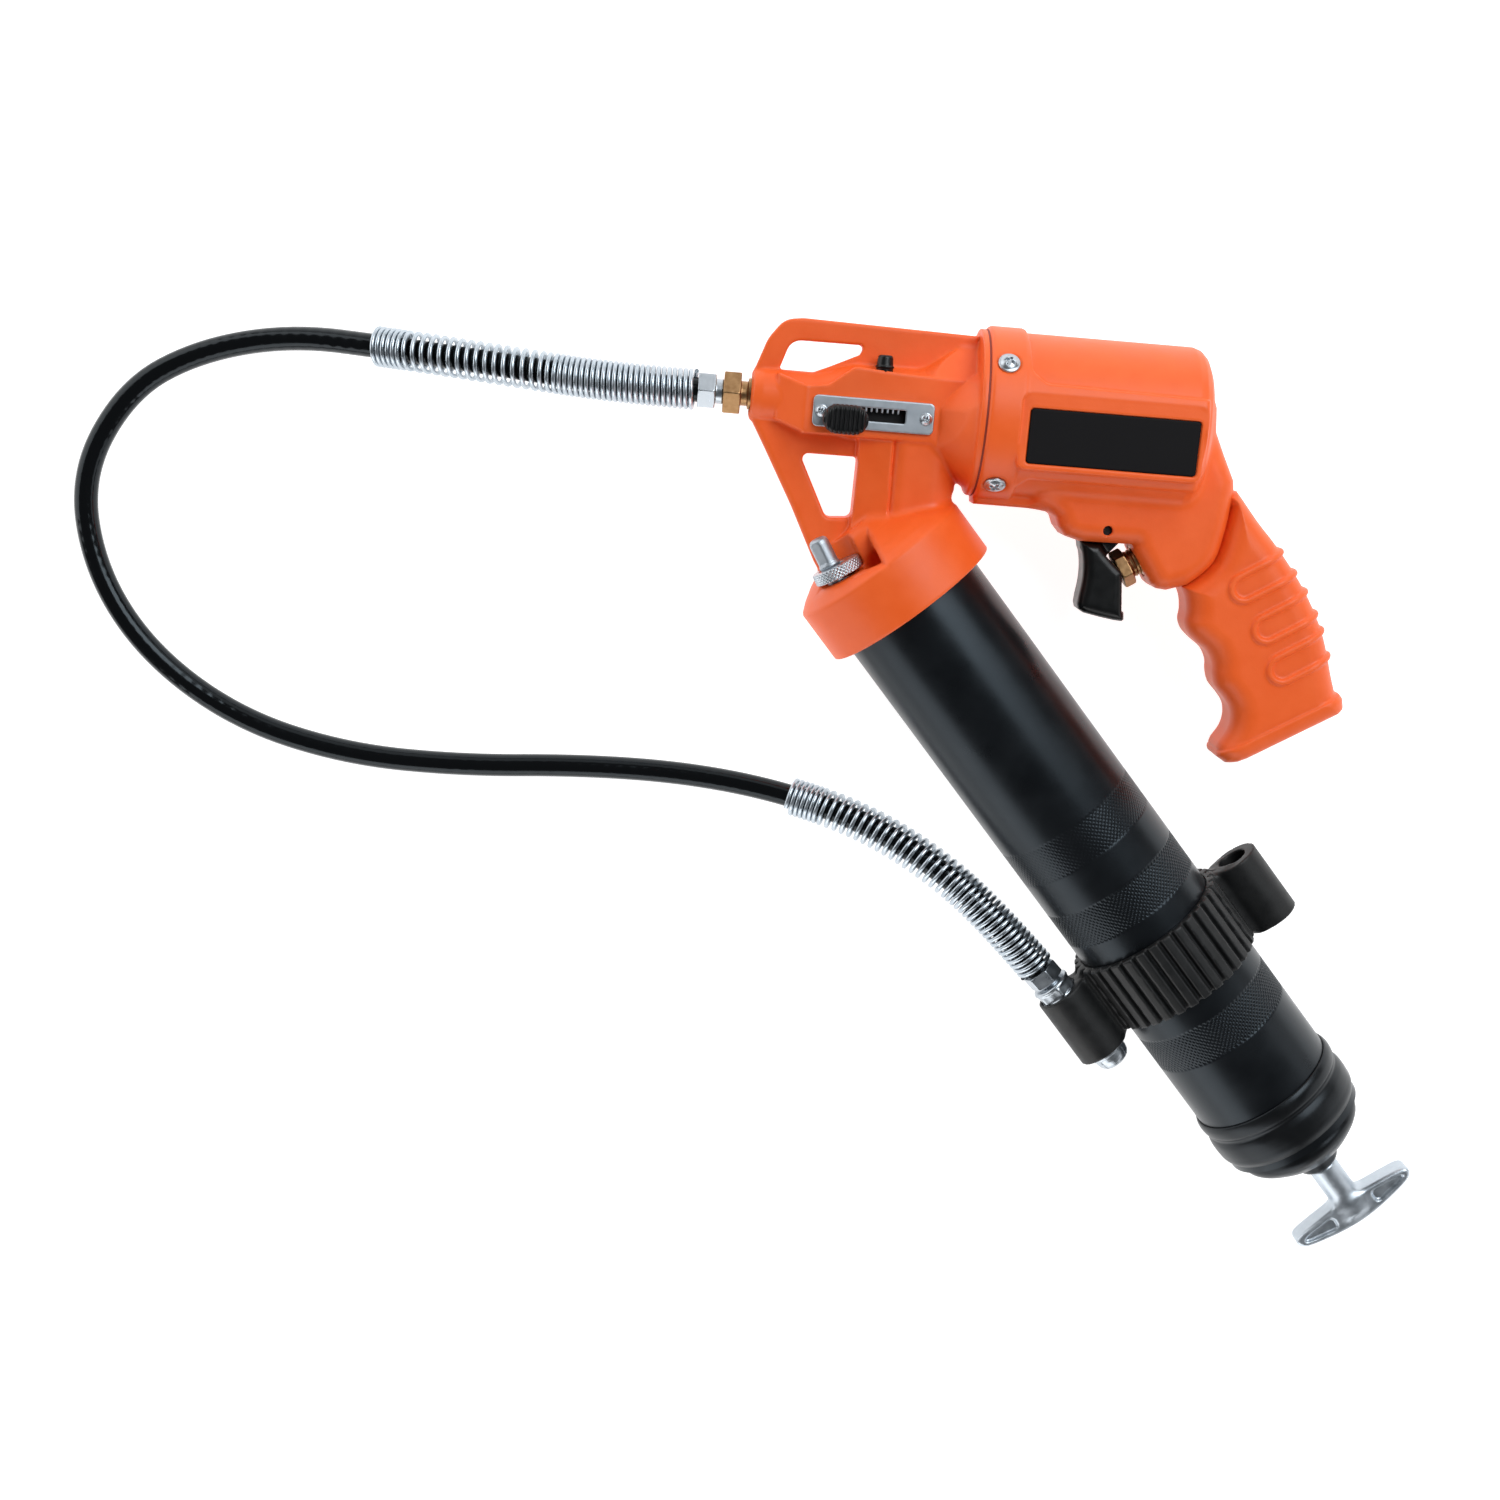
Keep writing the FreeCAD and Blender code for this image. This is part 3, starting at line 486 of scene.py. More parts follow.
def solid(name, shape, low, high, step, material, body, slot, *nodes):
    points, quads = surface(shape, low, high, step)
    return place(mesh_object(name, points, quads, material), body, slot, *nodes)


def several(name, shapes, material, body, slot, *nodes):
    """One piece from several small shapes, each (shape, low, high, step)."""
    points, quads, base = [], [], 0
    for shape in shapes:
        a, b = surface(*shape)
        points.append(a)
        quads.append(b + base)
        base += len(a)
    obj = mesh_object(name, np.concatenate(points), np.concatenate(quads), material)
    return place(obj, body, slot, *nodes)


def around(centre, half):
    """The corners of a box round a point."""
    centre, half = np.asarray(centre, float), np.asarray(half, float)
    return centre - half, centre + half


def spun(name, start, axis, stations, segments, material, body, slot, *nodes, relief, sharp=None):
    """A revolved skin of (along, radius) stations, with relief(along, angle) added to the radius."""
    axis = unit(axis)
    u = unit(np.cross(axis, OUT)) if abs(axis[2]) < 0.9 else unit(np.cross(axis, PUMP))
    w = np.cross(axis, u)
    angle = np.linspace(0, 2 * math.pi, segments, endpoint=False)
    along = np.array([s for s, _ in stations], float)
    radius = np.array([r for _, r in stations], float)
    r = np.repeat(radius[:, None], segments, 1) + relief(along[:, None], angle[None, :])
    spokes = u[None, :] * np.cos(angle)[:, None] + w[None, :] * np.sin(angle)[:, None]
    points = np.asarray(start, float) + along[:, None, None] * axis + r[:, :, None] * spokes[None]
    i = np.arange(len(stations) - 1)[:, None] * segments
    j = np.arange(segments)[None, :]
    k = (j + 1) % segments
    quads = np.stack([i + j, i + k, i + segments + k, i + segments + j], -1).reshape(-1, 4)
    obj = mesh_object(name, points.reshape(-1, 3), quads, material, sharp)
    return place(obj, body, slot, *nodes)


# ---- hose, guards and its fittings
def local(*point):
    return np.array(point, float)


HOSE_R, GUARD_R, WIRE_R = 4.5, 6.75, 0.88
WIRE_POINTS_PER_TURN = 28
ON_FLOOR = -30.7
route = [(-22.2, 0.0, 0.0), (-54.0, 0.0, 0.0), (-95.0, 3.0, -4.5), (-137.0, 5.8, -14.0),
         (-178.3, 7.6, -26.5), (-214.9, -1.3, ON_FLOOR), (-241.5, -18.3, ON_FLOOR),
         (-258.7, -52.1, ON_FLOOR), (-252.3, -88.7, ON_FLOOR), (-230.8, -119.6, ON_FLOOR),
         (-195.0, -143.0, ON_FLOOR), (-151.5, -153.7, ON_FLOOR), (-105.2, -154.6, ON_FLOOR),
         (-58.0, -150.6, ON_FLOOR), (-15.9, -150.3, -30.6), (21.7, -153.5, -24.5), (55.9, -161.1, -15.0),
         (84.5, -174.2, -3.5), (107.347, -190.771, 6.388), (125.83, -209.055, 6.135)]


def route_curve(name, thickness, resolution):
    """A round curve along the hose's route."""
    data = bpy.data.curves.new(name, "CURVE")
    data.dimensions = "3D"
    data.resolution_u = resolution
    spline = data.splines.new("NURBS")
    spline.points.add(len(route) - 1)
    for point, place_at in zip(spline.points, row(route)):
        point.co = (*place_at, 1.0)
    spline.order_u = 3
    spline.use_endpoint_u = True
    data.bevel_depth = thickness
    data.bevel_resolution = 6
    return link(name, data)


guide = route_curve("route_guide", 0.0, 40)
bpy.context.view_layer.update()
flat = bpy.data.meshes.new_from_object(guide)
path = np.array([v.co[:] for v in flat.vertices]) / MM - DATUM
bpy.data.meshes.remove(flat)
bpy.data.objects.remove(guide)
reach = np.concatenate([[0.0], np.cumsum(np.linalg.norm(np.diff(path, axis=0), axis=1))])
hose_length = float(reach[-1])


def path_at(distance):
    """Centreline points and directions at distances from the head fitting."""
    behind, at, ahead = (np.stack([np.interp(distance + more, reach, path[:, i]) for i in range(3)], 1)
                         for more in (-1.0, 0.0, 1.0))
    way = ahead - behind
    return at, way / np.linalg.norm(way, axis=1)[:, None]


hose = route_curve("rubber_hose", HOSE_R * MM, 16)
hose.data.materials.append(M["hose"])
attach(hose, "gun_body")
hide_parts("hose")


def guard(name, start, way, sections, node):
    """A spring guard: a wire wound round the hose. sections are (length, pitch) along it."""
    s, turns, distance, angle = 0.0, 0.0, [], []
    for length, pitch in sections:
        count = max(2, int(length / pitch * WIRE_POINTS_PER_TURN))
        for step in range(count):
            distance.append(s + length * step / count)
            angle.append(2 * math.pi * (turns + length / pitch * step / count))
        s += length
        turns += length / pitch
    distance = start + way * np.array(distance)
    angle = np.array(angle)
    at, along = path_at(distance)
    u = np.cross(along, OUT)
    u /= np.linalg.norm(u, axis=1)[:, None]
    w = np.cross(along, u)
    wire = at + GUARD_R * (u * np.cos(angle)[:, None] + w * np.sin(angle)[:, None])
    data = bpy.data.curves.new(name, "CURVE")
    data.dimensions = "3D"
    spline = data.splines.new("POLY")
    spline.points.add(len(wire) - 1)
    co = np.concatenate([row(wire), np.ones((len(wire), 1))], 1)
    spline.points.foreach_set("co", co.ravel())
    spline.use_smooth = True
    data.bevel_depth = WIRE_R * MM
    data.bevel_resolution = 2
    data.use_fill_caps = True
    data.materials.append(M["wire"])
    return place(link(name, data), "gun_body", "zinc_steel", node)


guard_head = guard("guard_wire_head", 0.9, 1, [(52.0, 2.0), (6.0, 2.7), (52.0, 3.5), (12.4, 2.0)],
                   "spring_guard_head")
guard_tip = guard("guard_wire_tip", hose_length - 0.9, -1, [(46.0, 2.3), (60.0, 3.3), (13.4, 2.0)],
                  "spring_guard_tip")


def threads(p, start, axis, radius, pitch, depth, first, last):
    """A bar with a screw thread."""
    t, r = polar(p, start, axis)
    u = unit(np.cross(axis, OUT))
    w = np.cross(axis, u)
    a = offset(p, start)
    angle = np.arctan2(dot(a, w), dot(a, u))
    wave = np.abs(((t / pitch + angle / (2 * math.pi)) % 1.0) * 2 - 1)
    return corner(r - radius + depth * wave, np.abs(t - (first + last) / 2) - (last - first) / 2, 0.2) * 0.8


# Fittings at the head: brass adapter, then the hose's steel ferrule.
def adapter(p):
    neck = turned(p, (0, 0, 0), PUMP, [(-6.6, 4.5), (-3.7, 4.5), (-3.5, 5.7), (-1.0, 5.9)], 0.15)
    return join(neck, hexagon(p, (-12.7, 0, 0), (-6.3, 0, 0), 15.0, turn=90.0), 0.3)


solid("brass_adapter", adapter, (-13.5, -9.5, -9.5), (0.0, 9.5, 9.5), 0.32, M["brass"],
      "gun_body", "brass", "outlet_adapter")


def head_ferrule(p):
    neck = turned(p, (0, 0, 0), PUMP, [(-16.2, 4.55), (-12.9, 4.6)], 0.1)
    nut = hexagon(p, (-22.1, 0, 0), (-15.6, 0, 0), 12.4, turn=90.0)
    hole = bar(p, (-24, 0, 0), (-19.5, 0, 0), 4.6)
    return join(neck, cut(nut, hole, 0.2), 0.3)


ferrule_head = solid("ferrule_at_head", head_ferrule, (-23.0, -8.0, -8.0), (-12.0, 8.0, 8.0), 0.32,
                     M["zinc"], "gun_body", "zinc_steel", "hose_ferrule_head")

# The coupler, clipped in the left socket.
HOLDER_TURN = math.radians(8.0)
TILT = math.radians(4.0)


def holder_point(s, away, sign):
    """A point of the hose holder, whose sockets are turned a little round the barrel."""
    return on_barrel(s, sign * away * math.cos(HOLDER_TURN), -sign * away * math.sin(HOLDER_TURN))


COUPLER_WAY = unit(DOWN * math.cos(TILT) - holder_point(0, 1.0, -1) * math.sin(TILT))
TIP = local(*route[-1])


def tip_ferrule(p):
    nut = hexagon(p, TIP, TIP + COUPLER_WAY * 6.0, 12.4, turn=12.0)
    neck = turned(p, TIP, COUPLER_WAY, [(5.6, 4.6), (7.2, 4.6)], 0.1)
    return join(cut(nut, pin(p, TIP, COUPLER_WAY, -2, 2.5, 4.6), 0.2), neck, 0.3)


ferrule_tip = solid("ferrule_at_coupler", tip_ferrule, *around(TIP + COUPLER_WAY * 3.6, (9.5, 9.5, 8.5)),
                    0.32, M["zinc"], "gun_body", "zinc_steel", "hose_ferrule_tip")


def coupler(p):
    nut = hexagon(p, TIP + COUPLER_WAY * 8.4, TIP + COUPLER_WAY * 12.4, 14.0, turn=20.0)
    shank = turned(p, TIP, COUPLER_WAY, [(7.2, 7.2), (7.6, 7.7), (8.3, 7.7), (8.6, 7.1), (12.3, 7.1),
                                         (12.6, 7.7), (34.0, 7.7), (34.4, 7.3), (35.2, 7.3), (35.6, 7.7),
                                         (43.0, 7.7)], 0.1)
    return join(nut, shank, 0.3)


coupler_piece = solid("coupler_sleeve", coupler, *around(TIP + COUPLER_WAY * 25.0, (22.0, 22.0, 9.5)), 0.45,
                      M["zinc"], "gun_body", "zinc_steel", "coupler_body")


def jaws(p):
    dome = turned(p, TIP, COUPLER_WAY, [(42.9, 6.9), (45.2, 6.85), (46.8, 6.5), (48.0, 5.8), (48.8, 4.6)])
    d = cut(dome, pin(p, TIP, COUPLER_WAY, 42, 50, 3.3), 0.5)
    u = unit(np.cross(COUPLER_WAY, OUT))
    w = np.cross(COUPLER_WAY, u)
    for angle in (math.radians(45), math.radians(135)):
        n = u * math.cos(angle) + w * math.sin(angle)
        d = cut(d, np.abs(dot(offset(p, TIP), n)) - 0.16, 0.15)
    return d


jaws_piece = solid("coupler_nose", jaws, *around(TIP + COUPLER_WAY * 46.0, (8.6, 8.6, 7.5)), 0.28,
                   M["zinc"], "gun_body", "chrome_steel", "coupler_jaws")


# ---- pump head casting
loop_outline = rounded([(-2.5, -9.0), (-2.5, 7.6), (2.1, 20.7), (7.6, 28.0), (14.5, 28.9), (79.0, 27.5),
                        (79.0, -6.0)], [0, 6, 14, 14, 14, 0, 0])
loop_window = rounded([(7.4, 9.9), (10.9, 20.5), (37.2, 20.6), (36.0, 17.6), (19.6, 9.8)],
                      [0.6, 5.0, 1.4, 0.8, 3.0])
strut_outline = [(-3.0, -6.0), (-2.9, -7.3), (4.3, -19.6), (15.3, -39.0), (25.7, -59.2), (34.0, -72.0),
                 (46.0, -50.0), (46.0, -6.0)]
strut_window = rounded([(17.4, -19.9), (38.6, -19.8), (38.1, -41.7), (28.9, -42.4)], [1.8, 1.8, 2.4, 2.4])
pad_outline = rounded([(17.0, -12.0), (66.0, -12.0), (66.3, -1.0), (67.3, 2.3), (70.5, 6.9), (74.6, 11.3),
                       (52.0, 11.9), (34.5, 13.0), (25.5, 6.0), (17.0, 5.0)],
                      [0, 1.0, 0, 0, 0, 0.5, 0, 3.0, 3.0, 0])
corner_outline = rounded([(33.0, -57.0), (44.0, -63.5), (50.0, -75.0), (38.0, -76.0)], 1.5)
knob_hole = rounded(box_points(26.0, 57.0, -8.2, 1.0), 0.5)
neck_outline = rounded([(38.2, -6.0), (38.0, -46.0), (36.0, -64.0), (51.0, -64.0), (50.6, -6.0)], 0.8)
BLEED_FOOT = local(35.5, -62.6, 16.0)
STEM_FOOT = BLEED_FOOT + local(-1.45, -0.9, 0.0)
BLEED_WAY = unit((-math.cos(math.radians(58.5)), math.sin(math.radians(58.5)), 0.0))
BUTTON = local(45.2, 0.0, 9.5)
SCREW_ANGLES = (54.0, 142.0, -142.0, -54.0)
SCREW_S, SCREW_SEAT_R = 88.2, 31.1


def screw_seats():
    """Seat and direction of the four radial screws of the motor's flange."""
    for angle in SCREW_ANGLES:
        outward = local(0.0, math.cos(math.radians(angle)), math.sin(math.radians(angle)))
        yield PUMP * SCREW_S + outward * SCREW_SEAT_R, outward


def head(p):
    x, y, z = p
    loop = cut(slab(p, loop_outline, -4.0, 4.0, 1.1), slab(p, loop_window, -30, 30), 0.9)
    strut = cut(slab(p, strut_outline, -5.5, 5.5, 2.2), slab(p, strut_window, -30, 30), 1.4)
    frame_part = cut(join(loop, strut, 1.0), slab(p, loop_window, -30, 30), 0.9)
    body = turned(p, (0, 0, 0), PUMP, [(-2.5, 8.0), (-1.6, 9.5), (1.5, 10.3), (20.0, 10.4), (34.0, 14.2),
                                       (57.5, 14.4), (60.5, 15.4), (79.8, 28.6), (81.4, 29.0)])
    pad = slab(p, pad_outline, -6.0, 14.0, 0.7)
    facet = both(slab(p, [(6.6, -8.0), (18.0, -12.0), (18.0, 5.0), (6.6, 8.6)], -4.0, 16.0, 0.6),
                 (z - 9.6 - (x - 7.0) * 0.46) * 0.9, 1.2)
    pad = join(pad, facet, 0.5)
    edge = np.minimum(66.3 + 0.289 * np.maximum(y, 0.0) ** 1.41, 78.6)
    top = 14.0 - 0.82 * np.maximum(y - 11.0, 0.0) + 1.29 * np.maximum(x - edge, 0.0)
    flange = bar(p, (79.4, 0, 0), (81.9, 0, 0), 30.4, 0.5)
    body = join(both(body, (np.abs(z) - top) / 1.5, 0.5), flange, 1.6)
    column = bar(p, (61.0, 0.0, 0.0), (60.5, -66.0, 0.0), 14.8, 2.0)
    column = both(column, np.abs(z) - 13.2, 1.0)
    facet = both(slab(p, neck_outline, -13.0, 13.0, 0.5), (np.abs(z) - 12.6 - (x - 50.6) * 0.30) * 0.95, 0.6)
    neck = join(column, facet, 0.4)
    collar = turned(p, (0, 0, 0), DOWN, [(60.0, 12.0), (65.0, 18.5), (69.5, 27.0), (72.5, 31.6), (74.2, 33.6),
                                         (75.0, 34.6), (75.9, 35.2), (96.0, 35.2), (96.4, 34.8)])
    boss = pin(p, BLEED_FOOT, BLEED_WAY, -16.0, 0.0, 8.8, 0.6)
    corner_block = slab(p, corner_outline, 0.0, 21.0, 1.0)
    lower = join(join(neck, collar, 2.6), join(boss, corner_block, 1.5), 1.8)
    whole = join(join(body, pad, 0.4), frame_part, 0.9)
    whole = join(whole, lower, 1.8)
    from_foot = offset(p, BLEED_FOOT)
    aside = dot(from_foot, np.cross(OUT, BLEED_WAY))
    ahead = dot(from_foot, BLEED_WAY)
    slot = np.hypot(aside, np.minimum(from_foot[2], 0.0)) - 9.9
    for hole, edge in (
            # the shelf, slot and pocket round the bleed valve
            (np.maximum(np.maximum(-1.2 - ahead, -aside - 15.5), np.maximum(15.2 - z, ahead - 30.0)), 2.4),
            (both(slot, np.abs(ahead - 10.0) - 10.0, 0.5), 0.6),
            (np.sqrt((x - 50.3) ** 2 + (y + 57.2) ** 2 + ((z - 19.5) * 0.8) ** 2) - 6.0, 2.0),
            # the windows, and the notch beside the flange
            (slab(p, loop_window, -30, 30), 0.6),
            (slab(p, strut_window, -30, 30), 0.8),
            (np.hypot(x - 77.4, y + 31.4) - 2.6, 0.8),
            # the holes for the barrel, the selector, the bleed valve, the button and the adapter
            (bar(p, on_barrel(82.0), on_barrel(99.0), 28.7), 0.5),
            (slab(p, knob_hole, 9.5, 20.0), 0.2),
            (pin(p, BLEED_FOOT, BLEED_WAY, -9.0, 1.0, 5.0), 0.2),
            (pin(p, BUTTON, UP, 5.3, 22.0, 3.62), 0.2),
            (bar(p, PUMP * -4.0, PUMP * 6.0, 5.9), 0.3)):
        whole = cut(whole, hole, edge)
    return whole


CASTING_STEP = 0.62
solid("pump_head", head, (-4.0, -97.5, -36.5), (92.0, 31.0, 36.5), CASTING_STEP, M["orange"], "gun_body",
      "orange_paint", "head_casting")


# ---- selector, button and bleed valve
plate_outline = rounded(box_points(20.3, 64.4, -9.25, 2.05), 1.8)
slot_outline = rounded(box_points(27.4, 54.0, -6.0, -1.2), 0.4)
PLATE_SCREWS = (23.4, 61.5)


def plate(p):
    d = cut(slab(p, plate_outline, 14.0, 15.5, 0.3), slab(p, slot_outline, 10.0, 20.0), 0.15)
    for x in PLATE_SCREWS:
        d = cut(d, bar(p, (x, -3.6, 15.0), (x, -3.6, 17.0), 1.9), 0.15)
    return d


def rack_tooth(x):
    """One tooth of the row seen in the slot, as a shape and its box."""
    tooth = box_points(x, x + 0.7, -2.7, -1.0)
    return (lambda p: slab(p, tooth, 13.4, 15.2, 0.15)), (x - 0.6, -3.4, 12.8), (x + 1.3, -0.4, 15.8), 0.22


teeth = [rack_tooth(39.2 + 1.95 * i) for i in range(7)]
several("selector_face", [(plate, (19.5, -10.1, 13.4), (65.2, 2.9, 16.1), 0.3)] + teeth, M["satin"], "gun_body",
        "zinc_steel", "selector_plate")


# Painted shade: a black plate under the selector's slot, a dark sheet that stands in for the shade inside the
# slot.
def painted_slot_shade(p):
    return slab(p, box_points(26.4, 56.6, -7.9, 0.7), 9.4, 10.4, 0.1)


solid("painted_slot_shade", painted_slot_shade, (25.6, -8.8, 8.6), (57.4, 1.6, 11.2), 0.3, M["black_steel"], "gun_body",
      "zinc_steel")


def pan_head(seat, outward, radius, height):
    """A domed screw head with a cross recess, as a shape and its box."""
    outward = unit(outward)
    u = unit(np.cross(outward, (0.31, 0.95, 0.05)))
    w = np.cross(outward, u)
    seat = np.asarray(seat, float)

    def shape(p):
        t, r = polar(p, seat, outward)
        bulge = (radius ** 2 + height ** 2) / (2 * height)
        dome = np.sqrt(r ** 2 + (t - height + bulge) ** 2) - bulge
        rim = corner(r - radius, np.abs(t - height * 0.1) - height * 0.3, 0.3)
        d = join(both(both(dome, r - radius, 0.4), -t - 0.2, 0.1), rim, 0.2)
        across, beside = dot(offset(p, seat), u), dot(offset(p, seat), w)
        depth = t - height * 0.45
        wide = radius * 0.115 + 0.10 * np.maximum(depth, 0.0)
        arm = radius * 0.60 - np.maximum(height - t, 0.0) * 0.7
        cross = np.minimum(np.maximum(np.abs(across) - arm, np.abs(beside) - wide),
                           np.maximum(np.abs(beside) - arm, np.abs(across) - wide))
        return cut(d, np.maximum(cross, -depth), 0.12)

    low, high = around(seat + outward * height / 2, (radius + 1.0,) * 3)
    return shape, low, high, radius * 0.065


several("selector_screw_heads", [pan_head((x, -3.6, 15.5), OUT, 2.3, 1.5) for x in PLATE_SCREWS],
        M["zinc"], "gun_body", "zinc_steel", "selector_screws")
several("flange_screw_heads", [pan_head(seat, way, 3.95, 2.3) for seat, way in screw_seats()],
        M["zinc"], "gun_body", "zinc_steel", "housing_screws")


RIB_PITCH = 1.62
knob_stem = rounded(box_points(28.4, 35.9, -5.9, -3.1), 0.6)


def knob(p):
    x, y, z = p
    along = x - 32.15
    reach_out = np.hypot(np.maximum(np.abs(along) - 2.95, 0.0), y + 6.0)
    cap = corner(reach_out - 5.3, np.abs(z - 20.2) - 3.3, 1.9)
    ribs = np.clip(np.cos(along * (2 * math.pi / RIB_PITCH)) * 1.6, -1.0, 1.0) * 0.28
    cap = cap - ribs * np.clip(5.6 - reach_out, 0.0, 1.0)
    return join(cap, slab(p, knob_stem, 11.0, 18.0, 0.2), 0.4)


solid("slide_knob", knob, (23.0, -12.2, 10.5), (41.4, 0.4, 24.2), 0.26, M["plastic"], "selector",
      "black_plastic", "selector_knob")


def button(p):
    return turned(p, BUTTON, UP, [(7.7, 3.1), (13.2, 3.1), (13.5, 3.45), (14.0, 3.45), (14.3, 3.05),
                                  (17.2, 2.75), (17.8, 2.4), (18.0, 1.9)])


solid("push_button", button, (41.0, 7.0, 5.5), (49.4, 18.8, 13.5), 0.28, M["plastic"], "release_button",
      "black_plastic", "release_button")


def diamond(along, angle, pitch, teeth, depth):
    """Diamond knurling, as a change of radius."""
    turn = angle * teeth / (2 * math.pi)
    a, b = (np.clip(np.abs((lead % 1.0) * 2 - 1) * 1.5, 0, 1)
            for lead in (along / pitch + turn, along / pitch - turn))
    return -depth * (1 - np.minimum(a, b))


disc = [(0.0, 3.9), (0.0, 8.9), (0.25, 9.25)] + [(0.4 + 3.7 * i / 26, 9.4) for i in range(27)] \
    + [(4.3, 9.2), (4.5, 8.8), (4.5, 4.3), (4.2, 4.0), (0.5, 3.95)]


def disc_relief(along, angle):
    wall = ((along > 0.35) & (along < 4.15)) * 1.0
    return diamond(along, angle, 1.6, 38, 0.32) * wall


spun("bleed_disc", BLEED_FOOT, BLEED_WAY, disc, 456, M["zinc"], "gun_body", "zinc_steel", "bleed_valve_body",
     relief=disc_relief, sharp=50)


def bleed_stem(p):
    d = turned(p, STEM_FOOT, BLEED_WAY, [(-1.4, 3.7), (4.4, 3.7), (5.0, 4.05), (5.6, 4.05), (6.3, 3.72),
                                          (13.9, 3.72), (15.1, 3.4), (15.9, 2.6), (16.2, 1.2)])
    flat_side = unit(np.cross(BLEED_WAY, OUT) * -0.55 + OUT * 0.83)
    a = offset(p, STEM_FOOT)
    return cut(d, np.maximum(3.25 - dot(a, flat_side), 6.6 - dot(a, BLEED_WAY)), 0.25)


solid("bleed_pin", bleed_stem, *around(BLEED_FOOT + BLEED_WAY * 7.4, (11.5, 13.5, 5.0)), 0.3, M["satin"],
      "bleed_stem", "zinc_steel", "bleed_valve_stem")


# ---- motor housing
seam_curve = curve([(162.0, -57.1), (165.6, -55.3), (173.3, -47.1), (176.2, -34.1), (177.1, -24.0)], 4)
VALVE = local(145.6, -50.0, 0.0)
VALVE_WAY = unit((-0.835, -0.55, 0.0))
root_front = [(104.0, -10.0), (104.0, -31.0), (110.6, -33.3), (113.0, -35.4), (114.4, -38.8), (117.2, -41.9),
              (122.7, -43.3), (142.6, -43.0), (143.0, -44.9), (151.0, -57.0), (153.0, -58.5), (156.8, -58.8)]
root_back = [(177.4, -20.5), (176.8, -16.6), (172.6, -8.5), (168.4, 0.2), (167.4, 9.0), (166.2, 11.2),
             (163.6, 17.0), (159.0, 20.0), (150.0, 18.0), (148.0, -10.0)]
root_outline = root_front + seam_curve + root_back
band_outline = rounded([(84.0, -40.0), (95.2, -40.0), (96.0, -25.0), (99.7, -21.6), (163.0, -21.6),
                        (165.0, 11.4), (102.0, 12.4), (96.6, 16.5), (95.2, 40.0), (84.0, 40.0)],
                       [0, 0, 3, 3, 2, 2, 4, 4, 0, 0])
panel_outline = rounded(box_points(93.8, 160.2, -18.2, 8.6), 3.0)
label_pocket = rounded(box_points(96.8, 158.5, -16.2, 3.9), 1.5)
label_outline = rounded(box_points(97.1, 158.2, -15.9, 3.6), 1.3)
trigger_slot = rounded(box_points(121.4, 141.6, -54.0, -31.0), 2.0)


def housing(p):
    x, y, z = p
    t, r = polar(p, (0, 0, 0), PUMP)
    body = turned(p, (0, 0, 0), PUMP, [(82.1, 30.4), (82.3, 31.1), (83.0, 31.7), (84.0, 31.8), (94.4, 31.8),
                                       (95.2, 31.4), (95.8, 30.2), (157.5, 30.1), (160.2, 29.2),
                                       (162.2, 27.3), (163.6, 24.4), (164.8, 18.5), (165.6, 12.0),
                                       (166.0, 6.0)])
    band_skin = corner(r - 31.35, np.abs(t - 122.5) - 38.5, 2.5)
    body = join(body, both(band_skin, slab(p, band_outline, -50, 50), 0.7), 0.5)
    root = slab(p, root_outline, -15.0, 15.0, 7.0)
    chin = slab(p, box_points(82.4, 112.0, -33.0, -10.0), -9.0, 9.0, 2.0)
    whole = join(join(body, chin, 1.6), root, 3.0)
    for sign in (1, -1):
        q = (x, y, z * sign)
        whole = join(whole, slab(q, panel_outline, 8.0, 29.9, 0.9), 0.8)
        whole = cut(whole, slab(q, panel_outline, 29.9, 40.0), 0.5)
        whole = cut(whole, slab(q, label_pocket, 29.0, 40.0), 0.25)
    whole = cut(whole, slab(p, trigger_slot, -5.2, 5.2), 0.4)
    whole = cut(whole, np.hypot(x - 132.0, y + 38.4) - 1.8, 0.35)
    whole = cut(whole, pin(p, VALVE, VALVE_WAY, 6, -8, 6.55), 0.3)
    for seat, way in screw_seats():
        whole = cut(whole, bar(p, seat, seat + way * 5.0, 4.45), 0.5)
    return cut(whole, bar(p, PUMP * 80.0, PUMP * 84.0, 29.5), 0.2)


solid("motor_body", housing, (81.0, -60.5, -33.5), (181.0, 33.5, 33.5), CASTING_STEP, M["orange"], "gun_body",
      "orange_paint", "motor_housing")


def label(low):
    """A blank label, as a shape and its box."""
    return (lambda p: slab(p, label_outline, low, low + 0.5, 0.15),
            (97.0, -16.6, low - 0.6), (158.5, 4.3, low + 1.1), 0.4)


several("panel_labels", [label(29.0), label(-29.5)], M["label"], "gun_body", "label_black", "name_labels")


# ---- grip
grip_front = curve([(162.6, -56.8), (165.0, -61.5), (165.9, -66.5), (165.7, -70.4), (167.4, -74.2),
                    (171.3, -77.6), (175.4, -80.6), (177.9, -85.0), (178.4, -89.0), (180.0, -93.4),
                    (183.6, -97.2), (186.5, -101.0), (187.4, -105.5), (186.6, -110.0), (184.0, -114.6)], 3)
grip_back = curve([(225.0, -91.8), (222.6, -85.0), (220.4, -78.0), (217.4, -70.0), (213.0, -61.6),
                   (208.0, -53.8), (202.0, -46.0), (195.6, -38.6), (188.4, -31.2), (182.2, -24.0),
                   (179.0, -20.4)], 3)
grip_foot = [(183.4, -116.6), (184.4, -119.4), (187.4, -121.2), (191.4, -121.4), (195.0, -120.2),
             (227.2, -100.4), (228.0, -97.8), (227.2, -94.2)]
grip_outline = [(173.0, -22.0)] + seam_curve[-2::-1] + grip_front + grip_foot + grip_back
BEAD_WAY = unit((0.846, 0.533, 0.0))
BEADS = [((184.3, -55.3), 4.7), ((194.5, -69.7), 4.7), ((202.2, -84.1), 4.9)]
FOOT = local(208.0, -110.8, 0.0)
